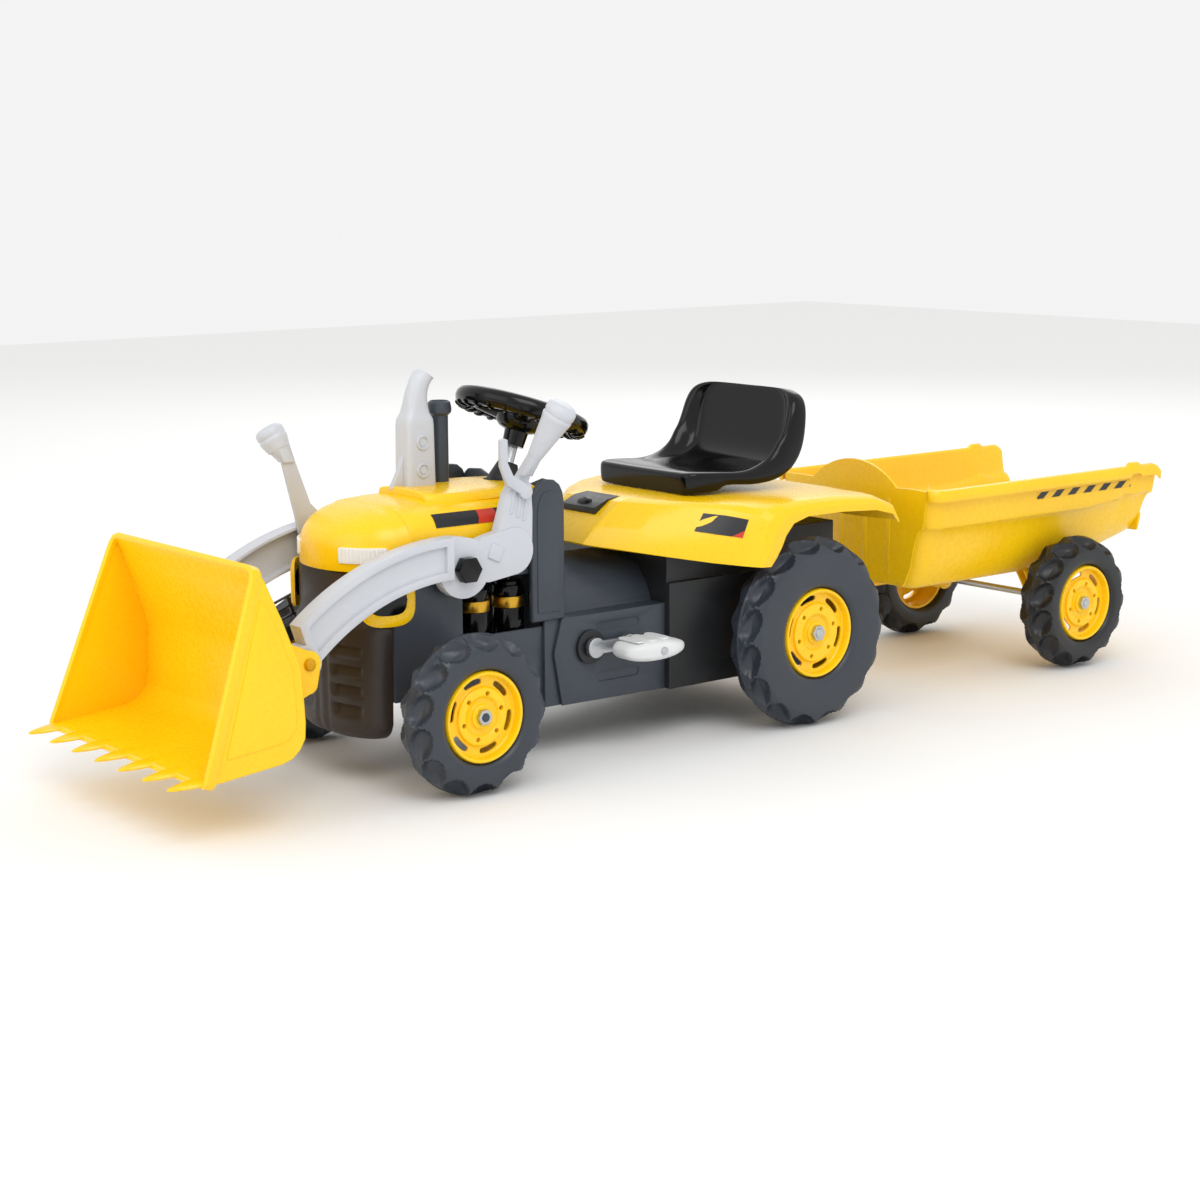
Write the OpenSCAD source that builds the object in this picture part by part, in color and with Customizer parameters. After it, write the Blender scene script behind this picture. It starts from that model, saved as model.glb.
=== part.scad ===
/* [Overall] */
// Distance from the rear axle to the front axle
wheelbase = 552; // [480:2:640]
// Distance from the body's middle to the outer face of a front tyre
front_track_half = 210; // [200:1:240]
// Distance from the body's middle to the outer face of a rear tyre
rear_track_half = 205; // [198:1:240]
// Half width of the front chassis
chassis_half = 98; // [84:1:104]
// Length of the trailer tub along its rim
tub_length = 499; // [400:5:640]
// Half width of the trailer tub at its rim
tub_half = 157; // [130:1:190]
// Height of the stacks above the bonnet's crest
stack_rise = 150; // [110:1:180]

/* [Wheels] */
// Radius of a rear tyre over its lugs
rear_tyre_r = 127; // [112:1:140]
// Width of a rear tyre
rear_tyre_w = 54; // [46:1:60]
// Radius of a rear rim
rear_rim_r = 60; // [50:1:72]
// Radius of a front or trailer tyre over its lugs
small_tyre_r = 98; // [84:1:110]
// Width of a front or trailer tyre
small_tyre_w = 58; // [50:1:62]
// Radius of a front or trailer rim
small_rim_r = 56; // [46:1:64]
// Lugs around a rear tyre
rear_lugs = 16; // [12:1:20]
// Lugs around a front or trailer tyre
small_lugs = 14; // [10:1:18]
// Radius of the front stub axles and the trailer axle
stub_r = 5; // [4:0.5:7]
// Radius of the rear axle
rear_axle_r = 6.5; // [5:0.5:9]

/* [Drive] */
// Distance from the front axle back to the crank
crank_behind = 236; // [226:1:260]
// Height of the crank
crank_z = 137; // [125:1:140]
// Length of a crank arm
crank_len = 54; // [44:1:58]
// Radius of the crank's rod
crank_r = 6; // [5:0.5:8]
// Pitch of the chain
chain_pitch = 12.7; // [9.5, 12.7]
// Teeth on the crank's sprocket
crank_teeth = 14; // [10:1:15]
// Teeth on the rear axle's sprocket
axle_teeth = 12; // [10:1:15]

/* [Steering] */
// Radius of the steering wheel over its rim
wheel_r = 88; // [75:1:115]
// Thickness of the steering wheel's rim
wheel_rim = 24; // [16:1:30]
// Lean of the steering column from upright, in degrees
column_tilt = 20; // [10:1:24]
// Radius of the steering column
column_r = 7; // [5:0.5:9]
// Length of a knuckle's steering arm
knuckle_arm = 55; // [45:1:62]
// Length of the column's crank
column_crank = 33; // [26:1:38]

/* [Loader] */
// Radius of the pivot shaft
pivot_r = 8; // [6:0.5:10]
// Distance between the pivot shaft and the bucket pins
arm_reach = 245.5; // [220:1:275]
// Width of an arm's channel
arm_width = 50; // [42:1:56]
// Thickness of an arm across the body
arm_thick = 24; // [16:1:26]
// Half width of the bucket along its cutting edge
bucket_half = 190; // [165:1:200]
// Wall of the bucket
bucket_wall = 4; // [3:0.5:6]
// Teeth along the cutting edge
bucket_teeth = 7; // [5:1:9]
// Length of a tooth
tooth_len = 38; // [25:1:50]
// Offset of the tip link below the arm's two pivots
link_drop = 24; // [22:1:28]

/* [Fits] */
// Radial clearance of a turning shaft
running = 0.05; // [0.02:0.01:0.1]
// Clearance between round pieces that stay together
seat_gap = 0.1; // [0.05:0.05:0.3]
// Side clearance between neighbouring moving plates
side_gap = 1; // [0.8:0.1:1.5]
// Wall of the moulded shells
wall = 4; // [3:0.5:5]

/* [Hidden] */
$fn = 48;

yellow = "#ffc90e";
slate = "#4a525c";
gloss_black = "#15171c";
silver_grey = "#d0d2d8";
steel = "#a9acb0";
gold = "#c9a227";

// Heights and stations of the tractor, measured from the rear axle and the ground
rear_axle_z = rear_tyre_r;
front_axle_z = small_tyre_r;
body_base = 66;
chassis_back = wheelbase - 180;
crank_x = wheelbase - crank_behind;
chassis_front = wheelbase + 54;
chassis_top = 278;
shoulder_x = wheelbase + 28;
hood_half = chassis_half - 12;
nose_top = 262;
deck_z = 240;
housing_top = 178;
housing_half = chassis_half + 10;
housing_back = 190;
box_half = chassis_half + 20;
box_back = -112;
cover_back = -rear_tyre_r - 23;
box_top = 2 * rear_tyre_r + 4;
cover_under = 2 * rear_tyre_r + 4;
seat_deck = cover_under + 54;

band_z = 197;
band_h = 14;

// Steering column: the wheel's centre and the axis through it
wheel_x = wheelbase - 214;
wheel_z = 430;
column_len = 342;
column_foot = 19;
kingpin_y = 118;
kingpin_r = 5;
knuckle_low = front_axle_z - 20;
tie_z = knuckle_low + 6;
tie_thick = 4;

// Loader: pivot shaft, bucket pins and the planes of the plates between them
pivot_x = wheelbase - 31;
pivot_z = 262;
arm_slope = 19.77;
pin_x = pivot_x + arm_reach * cos(arm_slope);
pin_z = pivot_z - arm_reach * sin(arm_slope);
pin_r = 6;
link_thick = 4;
link_in = chassis_half + 1.5;
lever_in = link_in + link_thick + side_gap;
arm_in = lever_in + link_thick + side_gap + 0.5;
arm_out = arm_in + arm_thick;
arc_r = 341;
arc_x = pivot_x + 17;
arc_z = pivot_z + 41 - arc_r;
lug_out = arm_out + side_gap;
lug_thick = 6;
trigger_x = pivot_x - 90;
trigger_z = pivot_z + 86;

// Trailer: hitch, tub and axle
hitch_x = -165;
hitch_z = 136;
tub_front = -262;
tub_rear = tub_front - tub_length;
tub_floor = 141;
tub_rim = 284;
trailer_axle_x = tub_front - tub_length * 0.595;
trailer_track_half = 194;

// The whole object's middle, which the origin stands under
tooth_tip_x = pin_x + 166 + tooth_len;
x_mid = (tooth_tip_x + tub_rear) / 2;

// Helpers: the common origin, mirrored pairs, and shapes along one direction
module place() { translate([-x_mid, 0, 0]) children(); }
module both() { children(); mirror([0, 1, 0]) children(); }
module along_y(y0, y1) { translate([0, y1, 0]) rotate([90, 0, 0]) linear_extrude(y1 - y0) children(); }
module rod_y(r, y0, y1, x, z) { translate([x, y0, z]) rotate([-90, 0, 0]) cylinder(r = r, h = y1 - y0); }
module box(x0, x1, y0, y1, z0, z1) { translate([x0, y0, z0]) cube([x1 - x0, y1 - y0, z1 - z0]); }
module on_column() { translate([wheel_x, 0, wheel_z]) rotate([0, -column_tilt, 0]) children(); }
// Hexagonal nut along y with a bore
module nut_y(r, y0, y1, x, z, bore) {
    translate([x, y0, z]) rotate([-90, 0, 0]) difference() {
        cylinder(r = r, h = y1 - y0, $fn = 6);
        translate([0, 0, -1]) cylinder(r = bore, h = y1 - y0 + 2);
    }
}

// Moulded front half of the body: side plates, deck, bulkheads and the column's bearings
module front_chassis() {
    color(slate) place() difference() {
        union() {
            both() along_y(chassis_half - wall, chassis_half) polygon([[chassis_back - 12, body_base],
                [wheelbase - 80, body_base], [wheelbase - 68, front_axle_z + 6],
                [chassis_front, front_axle_z + 6], [chassis_front, nose_top],
                [shoulder_x, nose_top], [shoulder_x, chassis_top],
                [chassis_back, chassis_top], [chassis_back, 140]]);
            box(chassis_back, shoulder_x, -chassis_half + wall, chassis_half - wall, deck_z, deck_z + 6);
            box(chassis_front - wall, chassis_front, -chassis_half + wall, chassis_half - wall,
                front_axle_z + 6, nose_top);
            box(chassis_back, chassis_back + wall, -chassis_half + wall, chassis_half - wall,
                housing_top - 20, deck_z);
            box(wheelbase - 132, wheelbase - 84, -chassis_half + wall, chassis_half - wall, 138, 146);
            both() rod_y(pivot_r + 10, chassis_half - 10, chassis_half, pivot_x, pivot_z - 2);
        }
        both() engine_window(chassis_half - wall - 1, chassis_half + 1);
        on_column() translate([0, 0, -column_len]) cylinder(r = column_r + running, h = column_len);
        rod_y(pivot_r + running, -chassis_half - 1, chassis_half + 1, pivot_x, pivot_z);
    }
}

// Opening in the side plates that shows the cylinders
module engine_window(y0, y1) {
    along_y(y0, y1) translate([wheelbase - 168, 170])
        square([122, deck_z - 170]);
}

// Steel beam across the body with a bored boss for each kingpin
module front_axle_beam() {
    color(steel) place() difference() {
        union() {
            box(wheelbase - 12, wheelbase + 12, -kingpin_y, kingpin_y, front_axle_z - 6, front_axle_z + 6);
            both() translate([wheelbase, kingpin_y, front_axle_z - 14]) cylinder(r = 12, h = 28);
        }
        both() translate([wheelbase, kingpin_y, front_axle_z - 15])
            cylinder(r = kingpin_r + running, h = 30);
    }
}

// Louvred nose below the bonnet, bullet-shaped from above
module front_grille() {
    color("#2a211d") place() difference() {
        intersection() {
            translate([chassis_front - 56, 0, 58]) cylinder(r = chassis_half + 2, h = nose_top - 60);
            box(chassis_front, chassis_front + 45, -chassis_half + 2, chassis_half - 2, 58, nose_top - 2);
        }
        for (z = [78 : 16 : 190])
            difference() {
                box(chassis_front + 5, chassis_front + 60, -chassis_half, chassis_half, z, z + 5);
                translate([chassis_front - 56, 0, z - 1]) cylinder(r = chassis_half - 3, h = 7);
            }
        box(chassis_front - 1, chassis_front + 30, -60, 60, 70, nose_top - 14);
    }
}

// Outer or inner volume of the bonnet, shrunk by inset
module hood_volume(inset) {
    hull() {
        box(chassis_back - 12 - inset, wheelbase - 24, -hood_half + inset, hood_half - inset, 300, 328 - inset);
        box(chassis_back - 12 - inset, wheelbase - 24, -chassis_half + inset, chassis_half - inset,
            nose_top - inset, 290);
        box(chassis_back - 12 - inset, wheelbase - 24, -50, 50, 320, 348 - inset);
    }
    hull() {
        box(wheelbase - 26, wheelbase + 48, 2 - hood_half + inset, hood_half - 2 - inset, 300, 326 - inset);
        box(wheelbase - 26, wheelbase + 52, -chassis_half + inset, chassis_half - inset,
            nose_top - inset, 290);
        box(wheelbase - 26, wheelbase + 40, -48, 48, 320, 339 - inset);
        translate([wheelbase + 38, 0, nose_top - inset]) cylinder(r = 64 - inset, h = 50, $fn = 32);
        translate([wheelbase + 36, 0, nose_top]) cylinder(r = 52 - inset, h = 64 - inset, $fn = 32);
    }
}

// Bonnet shell resting on the chassis, with a hole for the boot
module hood() {
    color(yellow) place() difference() {
        hood_volume(0);
        hood_volume(wall);
        box(chassis_back - 20, shoulder_x, -chassis_half - 1, chassis_half + 1, nose_top - 10, chassis_top);
        box(chassis_back - 20, chassis_back - 8, -chassis_half - 1, chassis_half + 1, 200, 318);
        box(wheelbase + 30, wheelbase + 70, -chassis_half - 1, chassis_half + 1, nose_top - 12, nose_top);
        on_column() translate([0, 0, -140]) cylinder(r = 26.5, h = 100);
        both() lens_block(seat_gap);
    }
}

// Lens recess at a front corner of the bonnet
module lens_block(grow) {
    translate([wheelbase + 48, chassis_half - 22, 272 - grow]) rotate([0, 0, -38])
        translate([-24 - grow, 2, 0]) cube([50 + 2 * grow, 30, 20 + 2 * grow]);
}

// Pair of ribbed lenses, let into the bonnet's corners
module headlight_lenses() {
    color("#eef0f2") place() intersection() {
        both() lens_block(0);
        difference() {
            hood_volume(0);
            hood_volume(wall);
        }
    }
}

// Moulded ring below each headlight
module lamp_surrounds() {
    color(yellow) place() both() difference() {
        along_y(chassis_half, chassis_half + 1) surround_outline(38, 33);
        along_y(chassis_half - 3, chassis_half + 3) surround_outline(22, 15);
    }
}

// Rounded outline of a lamp ring
module surround_outline(a, b) {
    translate([wheelbase + 14, 228]) scale([1, b / a]) circle(r = a);
}

// Two upright cylinders behind each window
module engine_cylinders() {
    color(gloss_black) place() both() for (x = [wheelbase - 136, wheelbase - 82])
        translate([x, chassis_half - 28, 150]) {
            cylinder(r = 20, h = band_z - 150);
            cylinder(r = 16.5, h = 80);
            translate([0, 0, band_z + band_h - 150]) cylinder(r = 20, h = 14);
            cylinder(r = 5, h = deck_z - 150);
        }
}

// Coloured band around each cylinder
module cylinder_bands() {
    color(gold) place() both() for (x = [wheelbase - 136, wheelbase - 82])
        translate([x, chassis_half - 28, band_z]) difference() {
            cylinder(r = 20.6, h = band_h);
            translate([0, 0, -1]) cylinder(r = 16.5 + seat_gap, h = band_h + 2);
        }
}

// Panel and cheeks that close the bonnet's rear end
module dash_fairing() {
    color(slate) place() {
        box(chassis_back - 18, chassis_back - 12.5, -housing_half, housing_half, housing_top + 0.5, 316);
        both() along_y(chassis_half + 1, housing_half) polygon([[chassis_back - 18, housing_top + 0.5],
            [chassis_back + 18, housing_top + 18], [chassis_back + 34, 262], [chassis_back + 34, 340],
            [chassis_back + 20, 356], [chassis_back - 4, 356], [chassis_back - 18, 342]]);
    }
}

// Rubber boot where the column leaves the bonnet
module column_boot() {
    color(gloss_black) place() on_column() translate([0, 0, -108]) rotate_extrude()
        polygon([[column_r + 1, 0], [26, 0], [26, 12], [22, 14], [13, 40], [column_r + 1, 40]]);
}

// Tall exhaust on a square foot, with a short intake behind it
module exhaust_stack() {
    color(silver_grey) place() translate([wheelbase - 64, -24, 0]) {
        difference() {
            box(-22, 22, -17, 17, 330, 434);
            hood_cut();
        }
        translate([0, 0, 434]) cylinder(r = 14, h = 20);
        translate([-40, 0, 454]) rotate([90, 0, 0]) rotate_extrude(angle = 32)
            translate([40, 0]) circle(r = 13);
        translate([-40 + 40 * cos(32), 0, 454 + 40 * sin(32)]) rotate([0, -32, 0])
            cylinder(r = 13, h = 11 + (stack_rise - 150));
    }
    color(slate) place() translate([wheelbase - 106, -30, 0]) difference() {
        union() {
            translate([0, 0, 330]) cylinder(r = 11, h = 110);
            translate([0, 0, 440]) cylinder(r1 = 15, r2 = 13, h = 14);
        }
        translate([64 - 42, 0, 0]) hood_cut();
    }
}

// Space under the bonnet's crest, where the stacks' feet stop
module hood_cut() {
    box(-200, 120, -60, 90, 300, 348);
}

// Hollow housing between the chassis and the seat box, around the crank and the chain
module drive_housing() {
    color(slate) place() difference() {
        union() {
            along_y(-housing_half, housing_half) polygon([[housing_back, 64], [chassis_back - 12, body_base],
                [chassis_back, 130], [chassis_back, 136], [chassis_back - 12, housing_top],
                [housing_back, housing_top]]);
            translate([housing_back, 0, housing_top - 20]) rotate([0, 90, 0])
                cylinder(r = 82, h = chassis_back - 19 - housing_back);
        }
        along_y(-housing_half + wall, housing_half - wall) polygon([[housing_back - 1, 60],
            [chassis_back - 18, 60], [chassis_back - 10, 130], [chassis_back - 18, housing_top - wall],
            [housing_back - 1, housing_top - wall]]);
        translate([housing_back - 1, 0, housing_top - 20]) rotate([0, 90, 0])
            cylinder(r = 82 - wall, h = chassis_back - 21 - housing_back);
        box(housing_back - 2, chassis_back + 2, -housing_half + wall, housing_half - wall, 40, housing_top - 30);
        box(chassis_back - 13, chassis_back + 2, -chassis_half - 1, chassis_half + 1, 60, housing_top + 90);
        rod_y(crank_r + 6, -housing_half - 1, housing_half + 1, crank_x, crank_z);
        both() for (z = [95, 160])
            along_y(housing_half - 1.5, housing_half + 1) hull() {
                translate([240, z]) circle(r = 6, $fn = 24);
                translate([298, z]) circle(r = 6, $fn = 24);
            }
    }
}

// Box under the seat that carries the rear axle
module seat_box() {
    color("#2b2f35") place() difference() {
        union() {
            box(box_back, housing_back, -box_half, box_half, 64, 205);
            box(box_back, housing_back, -box_half + 6, box_half - 6, 205, box_top);
        }
        box(box_back + wall, housing_back - wall, -box_half + wall, box_half - wall, 60, 200);
        box(box_back + wall, housing_back - wall, -box_half + 10, box_half - 10, 60, box_top - wall);
        box(housing_back - 10, housing_back + 1, -housing_half + wall + 4, housing_half - wall - 4,
            60, max(housing_top - wall, rear_axle_z + 30));
        rod_y(rear_axle_r + 5, -box_half - 1, box_half + 1, 0, rear_axle_z);
    }
}

// Flanged bushes for the crank and the rear axle
module axle_bushes() {
    color(gloss_black) place() both() {
        flanged_bush(crank_x, crank_z, housing_half, crank_r, 22);
        flanged_bush(0, rear_axle_z, box_half, rear_axle_r, 20);
    }
}

// Bush whose spigot fills a round hole in a wall at face
module flanged_bush(x, z, face, shaft_r, flange_r) {
    spigot = shaft_r + (shaft_r == crank_r ? 6 : 5) - seat_gap;
    difference() {
        union() {
            rod_y(spigot, face - wall, face, x, z);
            rod_y(flange_r, face, face + 5, x, z);
        }
        rod_y(shaft_r + running, face - wall - 1, face + 7, x, z);
    }
}

// Plan outline of the rear cover, shrunk by inset and moved back by slope
module cover_plan(inset, slope) {
    front = rear_tyre_r + 156;
    polygon([[front - slope - inset, -56], [front - 79 - slope / 2 - inset, -130],
        [front - 171 - inset, 4 - rear_track_half + inset], [cover_back + inset, 4 - rear_track_half + inset],
        [cover_back + inset, rear_track_half - 4 - inset], [front - 171 - inset, rear_track_half - 4 - inset],
        [front - 79 - slope / 2 - inset, 130], [front - slope - inset, 56]]);
}

// Rear body cover with the seat deck, the fenders over the wheels and a wing in front of each
module rear_cover() {
    wing_x = rear_tyre_r - 15;
    arch_x = wing_x - 28;
    color(yellow) place() difference() {
        union() {
            hull() {
                translate([0, 0, cover_under]) linear_extrude(1) cover_plan(0, 0);
                translate([0, 0, seat_deck - 13]) linear_extrude(1) cover_plan(0, 50);
                box(-96, 214, -126, 126, seat_deck - 10, seat_deck);
            }
            both() box(arch_x, wing_x, box_half + 8, rear_track_half - 4, cover_under - 30, cover_under + 2);
        }
        hull() {
            translate([0, 0, cover_under - 1]) linear_extrude(1) cover_plan(wall, 0);
            translate([0, 0, seat_deck - 13 - wall]) linear_extrude(1) cover_plan(wall, 50);
            box(-92, 206, -124, 124, seat_deck - 20, seat_deck - wall);
        }
        both() box(arch_x - 4, wing_x - 4, box_half + 12, rear_track_half - 4 - wall, cover_under - 58,
            cover_under + 10);
        both() along_y(box_half + 6, rear_track_half) translate([0, cover_under]) polygon([[arch_x, -58],
            [arch_x, -35], [arch_x - 14, -12], [arch_x - 32, 22], [arch_x - 58, 34], [39 - rear_tyre_r, 34],
            [cover_back + 16, 7], [cover_back - 10, -58]]);
        box(cover_back - 10, arch_x, -rear_track_half, rear_track_half, cover_under - 58, cover_under + 4);
    }
}

// Fork on the seat box's back with a bore for the hitch pin
module tow_hitch() {
    color(slate) place() difference() {
        union() {
            box(box_back - 6, box_back, -40, 40, 96, 176);
            for (z = [hitch_z - 12, hitch_z + 6])
                box(hitch_x, box_back - 6, -20, 20, z, z + 6);
            for (z = [hitch_z - 12, hitch_z + 6])
                translate([hitch_x, 0, z]) cylinder(r = 20, h = 6);
        }
        translate([hitch_x, 0, 90]) cylinder(r = 6 + running, h = 100);
    }
}

// Loose pin with a flat head
module hitch_pin() {
    color(steel) place() translate([hitch_x, 0, hitch_z]) {
        translate([0, 0, -26]) cylinder(r = 6, h = 38);
        translate([0, 0, 12]) cylinder(r = 12, h = 5);
    }
}

// Pitch radii of the two sprockets, and the plane of the chain
function pitch_radius(teeth) = chain_pitch / (2 * sin(180 / teeth));
crank_pitch_r = pitch_radius(crank_teeth);
axle_pitch_r = pitch_radius(axle_teeth);
chain_y = -60;
roller_r = 3.9;
centre_gap = sqrt(pow(crank_x, 2) + pow(crank_z - rear_axle_z, 2));
line_angle = atan2(crank_z - rear_axle_z, crank_x);
wrap = asin((crank_pitch_r - axle_pitch_r) / centre_gap);
span_len = sqrt(pow(centre_gap, 2) - pow(crank_pitch_r - axle_pitch_r, 2));

// Band between two growths of the loop around the sprockets
module chain_band(grow) {
    hull() {
        translate([crank_x, crank_z]) circle(r = crank_pitch_r + grow, $fn = 32);
        translate([0, rear_axle_z]) circle(r = axle_pitch_r + grow, $fn = 32);
    }
}

// Roller chain: two side bands and a roller in each tooth gap and along each run
module drive_chain() {
    color(steel) place() {
        for (y = [chain_y - 5, chain_y + 3.8])
            along_y(y, y + 1.2) difference() {
                chain_band(4.5);
                chain_band(-4.5);
            }
        for (side = [-1, 1], k = [2 : floor(span_len / chain_pitch) - 2]) {
            turn = line_angle + side * (90 + wrap);
            step = k * span_len / floor(span_len / chain_pitch);
            rod_y(roller_r, chain_y - 3.7, chain_y + 3.7,
                axle_pitch_r * cos(turn) + step * cos(line_angle + side * wrap),
                rear_axle_z + axle_pitch_r * sin(turn) + step * sin(line_angle + side * wrap));
        }
    }
}

// Toothed wheel whose gaps take the rollers
module sprocket(teeth, pitch_r, shaft_r) {
    difference() {
        union() {
            cylinder(r = pitch_r + 2.6, h = 5, center = true);
            cylinder(r = shaft_r + 7, h = 20, center = true);
        }
        for (k = [0 : teeth - 1])
            rotate((k + 0.5) * 360 / teeth) translate([pitch_r, 0, 0])
                cylinder(r = roller_r + 0.9, h = 22, center = true);
        cylinder(r = shaft_r + seat_gap, h = 22, center = true);
    }
}

// Sprocket on the crank
module drive_sprocket() {
    color(steel) place() translate([crank_x, chain_y, crank_z]) rotate([90, 0, 0])
        sprocket(crank_teeth, crank_pitch_r, crank_r);
}

// Sprocket on the rear axle
module driven_sprocket() {
    color(steel) place() translate([0, chain_y, rear_axle_z]) rotate([90, 0, 0])
        sprocket(axle_teeth, axle_pitch_r, rear_axle_r);
}

// Moulded seat: pan, tongue and backrest with bolsters
module seat() {
    color(gloss_black) place() {
        hull() {
            box(-30, 130, -98, 98, seat_deck + 0.5, seat_deck + 20);
            box(-52, 134, -112, 112, seat_deck + 14, seat_deck + 28);
        }
        box(82, 140, -104, 104, seat_deck + 0.5, seat_deck + 30);
        hull() {
            box(-62, -20, -116, 116, seat_deck + 10, seat_deck + 30);
            box(-66, -42, -96, 96, seat_deck + 100, seat_deck + 128);
            box(-66, -40, -114, 114, seat_deck + 80, seat_deck + 112);
        }
        both() hull() {
            box(-62, 70, 104, 114, seat_deck + 12, seat_deck + 30);
            box(-62, -24, 102, 114, seat_deck + 80, seat_deck + 100);
        }
    }
}

// Steering wheel: rim, three spokes and a hub with a pocket for the horn
hub_r = 30;
pocket_r = 20.5;
pocket_depth = 16;
module steering_wheel() {
    color(gloss_black) place() on_column() difference() {
        union() {
            rotate_extrude() translate([wheel_r - wheel_rim / 2, 0]) circle(r = wheel_rim / 2);
            for (a = [60, 180, 300])
                rotate(a) translate([hub_r - 4, -13, -9]) cube([wheel_r - wheel_rim - hub_r + 8, 26, 9]);
            translate([0, 0, -22]) cylinder(r = hub_r, h = 28);
            translate([0, 0, -46]) cylinder(r = 14, h = 26);
        }
        translate([0, 0, 6 - pocket_depth]) cylinder(r = pocket_r, h = pocket_depth + 1);
        translate([0, 0, -60]) cylinder(r = column_r + seat_gap, h = 43);
    }
}

// Bent steel column whose crank pin drives the tie rod
module steering_column() {
    color(steel) place() on_column() {
        translate([0, 0, -column_len]) cylinder(r = column_r, h = column_len - 18);
        translate([-column_crank, 0, -column_len - 5]) {
            translate([0, -8, 0]) cube([column_crank, 16, 5]);
            cylinder(r = 8, h = 5);
            translate([0, 0, -column_foot]) cylinder(r = 3.5, h = column_foot);
        }
        translate([0, 0, -column_len - 5]) cylinder(r = 8, h = 5.5);
    }
}

// Coil under the horn button
spring_turns = 4;
spring_r = 9;
wire_r = 0.8;
spring_low = 6 - pocket_depth + 1;
spring_high = -1.2;
function coil_point(k, j) = let(
    a = k * 24, s = k / (spring_turns * 15), q = j * 60,
    r = spring_r + wire_r * cos(q))
    [r * cos(a), r * sin(a), spring_low + (spring_high - spring_low) * s + wire_r * sin(q)];
// Coil spring under the horn button
module horn_spring() {
    rings = spring_turns * 15;
    color(steel) place() on_column() polyhedron(
        points = [for (k = [0 : rings], j = [0 : 5]) coil_point(k, j)],
        faces = concat([[5, 4, 3, 2, 1, 0]], [[for (j = [0 : 5]) rings * 6 + j]],
            [for (k = [0 : rings - 1], j = [0 : 5])
                [k * 6 + j, k * 6 + (j + 1) % 6, (k + 1) * 6 + (j + 1) % 6, (k + 1) * 6 + j]]));
}

// Button that sinks into the wheel's hub
module horn_button() {
    color(yellow) place() on_column() {
        cylinder(r = pocket_r - 0.5, h = 8);
        translate([0, 0, 8]) cylinder(r1 = pocket_r - 0.5, r2 = 15, h = 3);
    }
}

// Left knuckle: bracket round the boss, kingpin, stub axle and steering arm
module knuckle_left() {
    color(steel) place() translate([wheelbase, kingpin_y, front_axle_z]) {
        for (z = [-20, 16])
            box(-10, 10, -10, 20, z, z + 4);
        box(-10, 10, 16, 20, -20, 20);
        translate([0, 0, -24]) cylinder(r = kingpin_r, h = 48);
        rod_y(stub_r, 20, front_track_half - kingpin_y - 2, 0, 0);
        rod_y(stub_r + 3, 20, 26, 0, 0);
        box(-knuckle_arm, -8, -7, 7, -20, -16);
        translate([-knuckle_arm, 0, -20]) cylinder(r = 7, h = 4);
        translate([-knuckle_arm, 0, -20]) cylinder(r = 4, h = 16);
    }
}

// Right knuckle, the left one's mirror image
module knuckle_right() {
    mirror([0, 1, 0]) knuckle_left();
}

// Flat rod between the steering arms, with a slotted tongue for the column's pin
module tie_rod() {
    color(steel) place() difference() {
        union() {
            box(wheelbase - knuckle_arm - 8, wheelbase - knuckle_arm + 8, -kingpin_y, kingpin_y,
                tie_z, tie_z + tie_thick);
            both() translate([wheelbase - knuckle_arm, kingpin_y, tie_z]) cylinder(r = 8, h = tie_thick);
            box(tongue_back, wheelbase - knuckle_arm - 7, -13, 13, tie_z, tie_z + tie_thick);
        }
        both() translate([wheelbase - knuckle_arm, kingpin_y, tie_z - 1])
            cylinder(r = 4 + running, h = tie_thick + 2);
        box(tongue_back + 8, tongue_back + 44, -4.4, 4.4, tie_z - 1, tie_z + tie_thick + 1);
    }
}
foot_x = wheel_x + (column_len + 13) * sin(column_tilt) - column_crank * cos(column_tilt);
tongue_back = foot_x - 26;

// Hollow tyre around the Y axis, open towards the rim, with lugs that reach the full radius
module tyre(r, rim_r, w, lugs) {
    s = min(1, (r - rim_r) / 42);
    rotate([90, 0, 0]) {
        rotate_extrude($fn = 96) difference() {
            polygon([[rim_r + seat_gap, 7 - w / 2], [rim_r + 7 * s, -w / 2], [r - 20 * s, -w / 2],
                [r - 10 * s, 8 - w / 2], [r - 6 * s, 18 - w / 2], [r - 6 * s, w / 2 - 18], [r - 10 * s, w / 2 - 8],
                [r - 20 * s, w / 2], [rim_r + 7 * s, w / 2], [rim_r + seat_gap, w / 2 - 7]]);
            polygon([[rim_r - 1, 10 - w / 2], [rim_r + 9 * s, 5 - w / 2], [r - 22 * s, 5 - w / 2],
                [r - 13 * s, 18 - w / 2], [r - 13 * s, w / 2 - 18], [r - 22 * s, w / 2 - 5],
                [rim_r + 9 * s, w / 2 - 5], [rim_r - 1, w / 2 - 10]]);
        }
        intersection() {
            for (k = [0 : lugs - 1], side = [-1, 1])
                rotate(k * 360 / lugs - 90 + (side < 0 ? 0 : 90 / lugs)) translate([r - 16 * s, 0, side * w / 4])
                    translate([0, -r * 0.085, -w / 4 + (side < 0 ? 4 : 0)]) cube([18 * s, r * 0.17, w / 2 - 4]);
            cylinder(r = r, h = w, center = true, $fn = 96);
        }
    }
}

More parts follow.
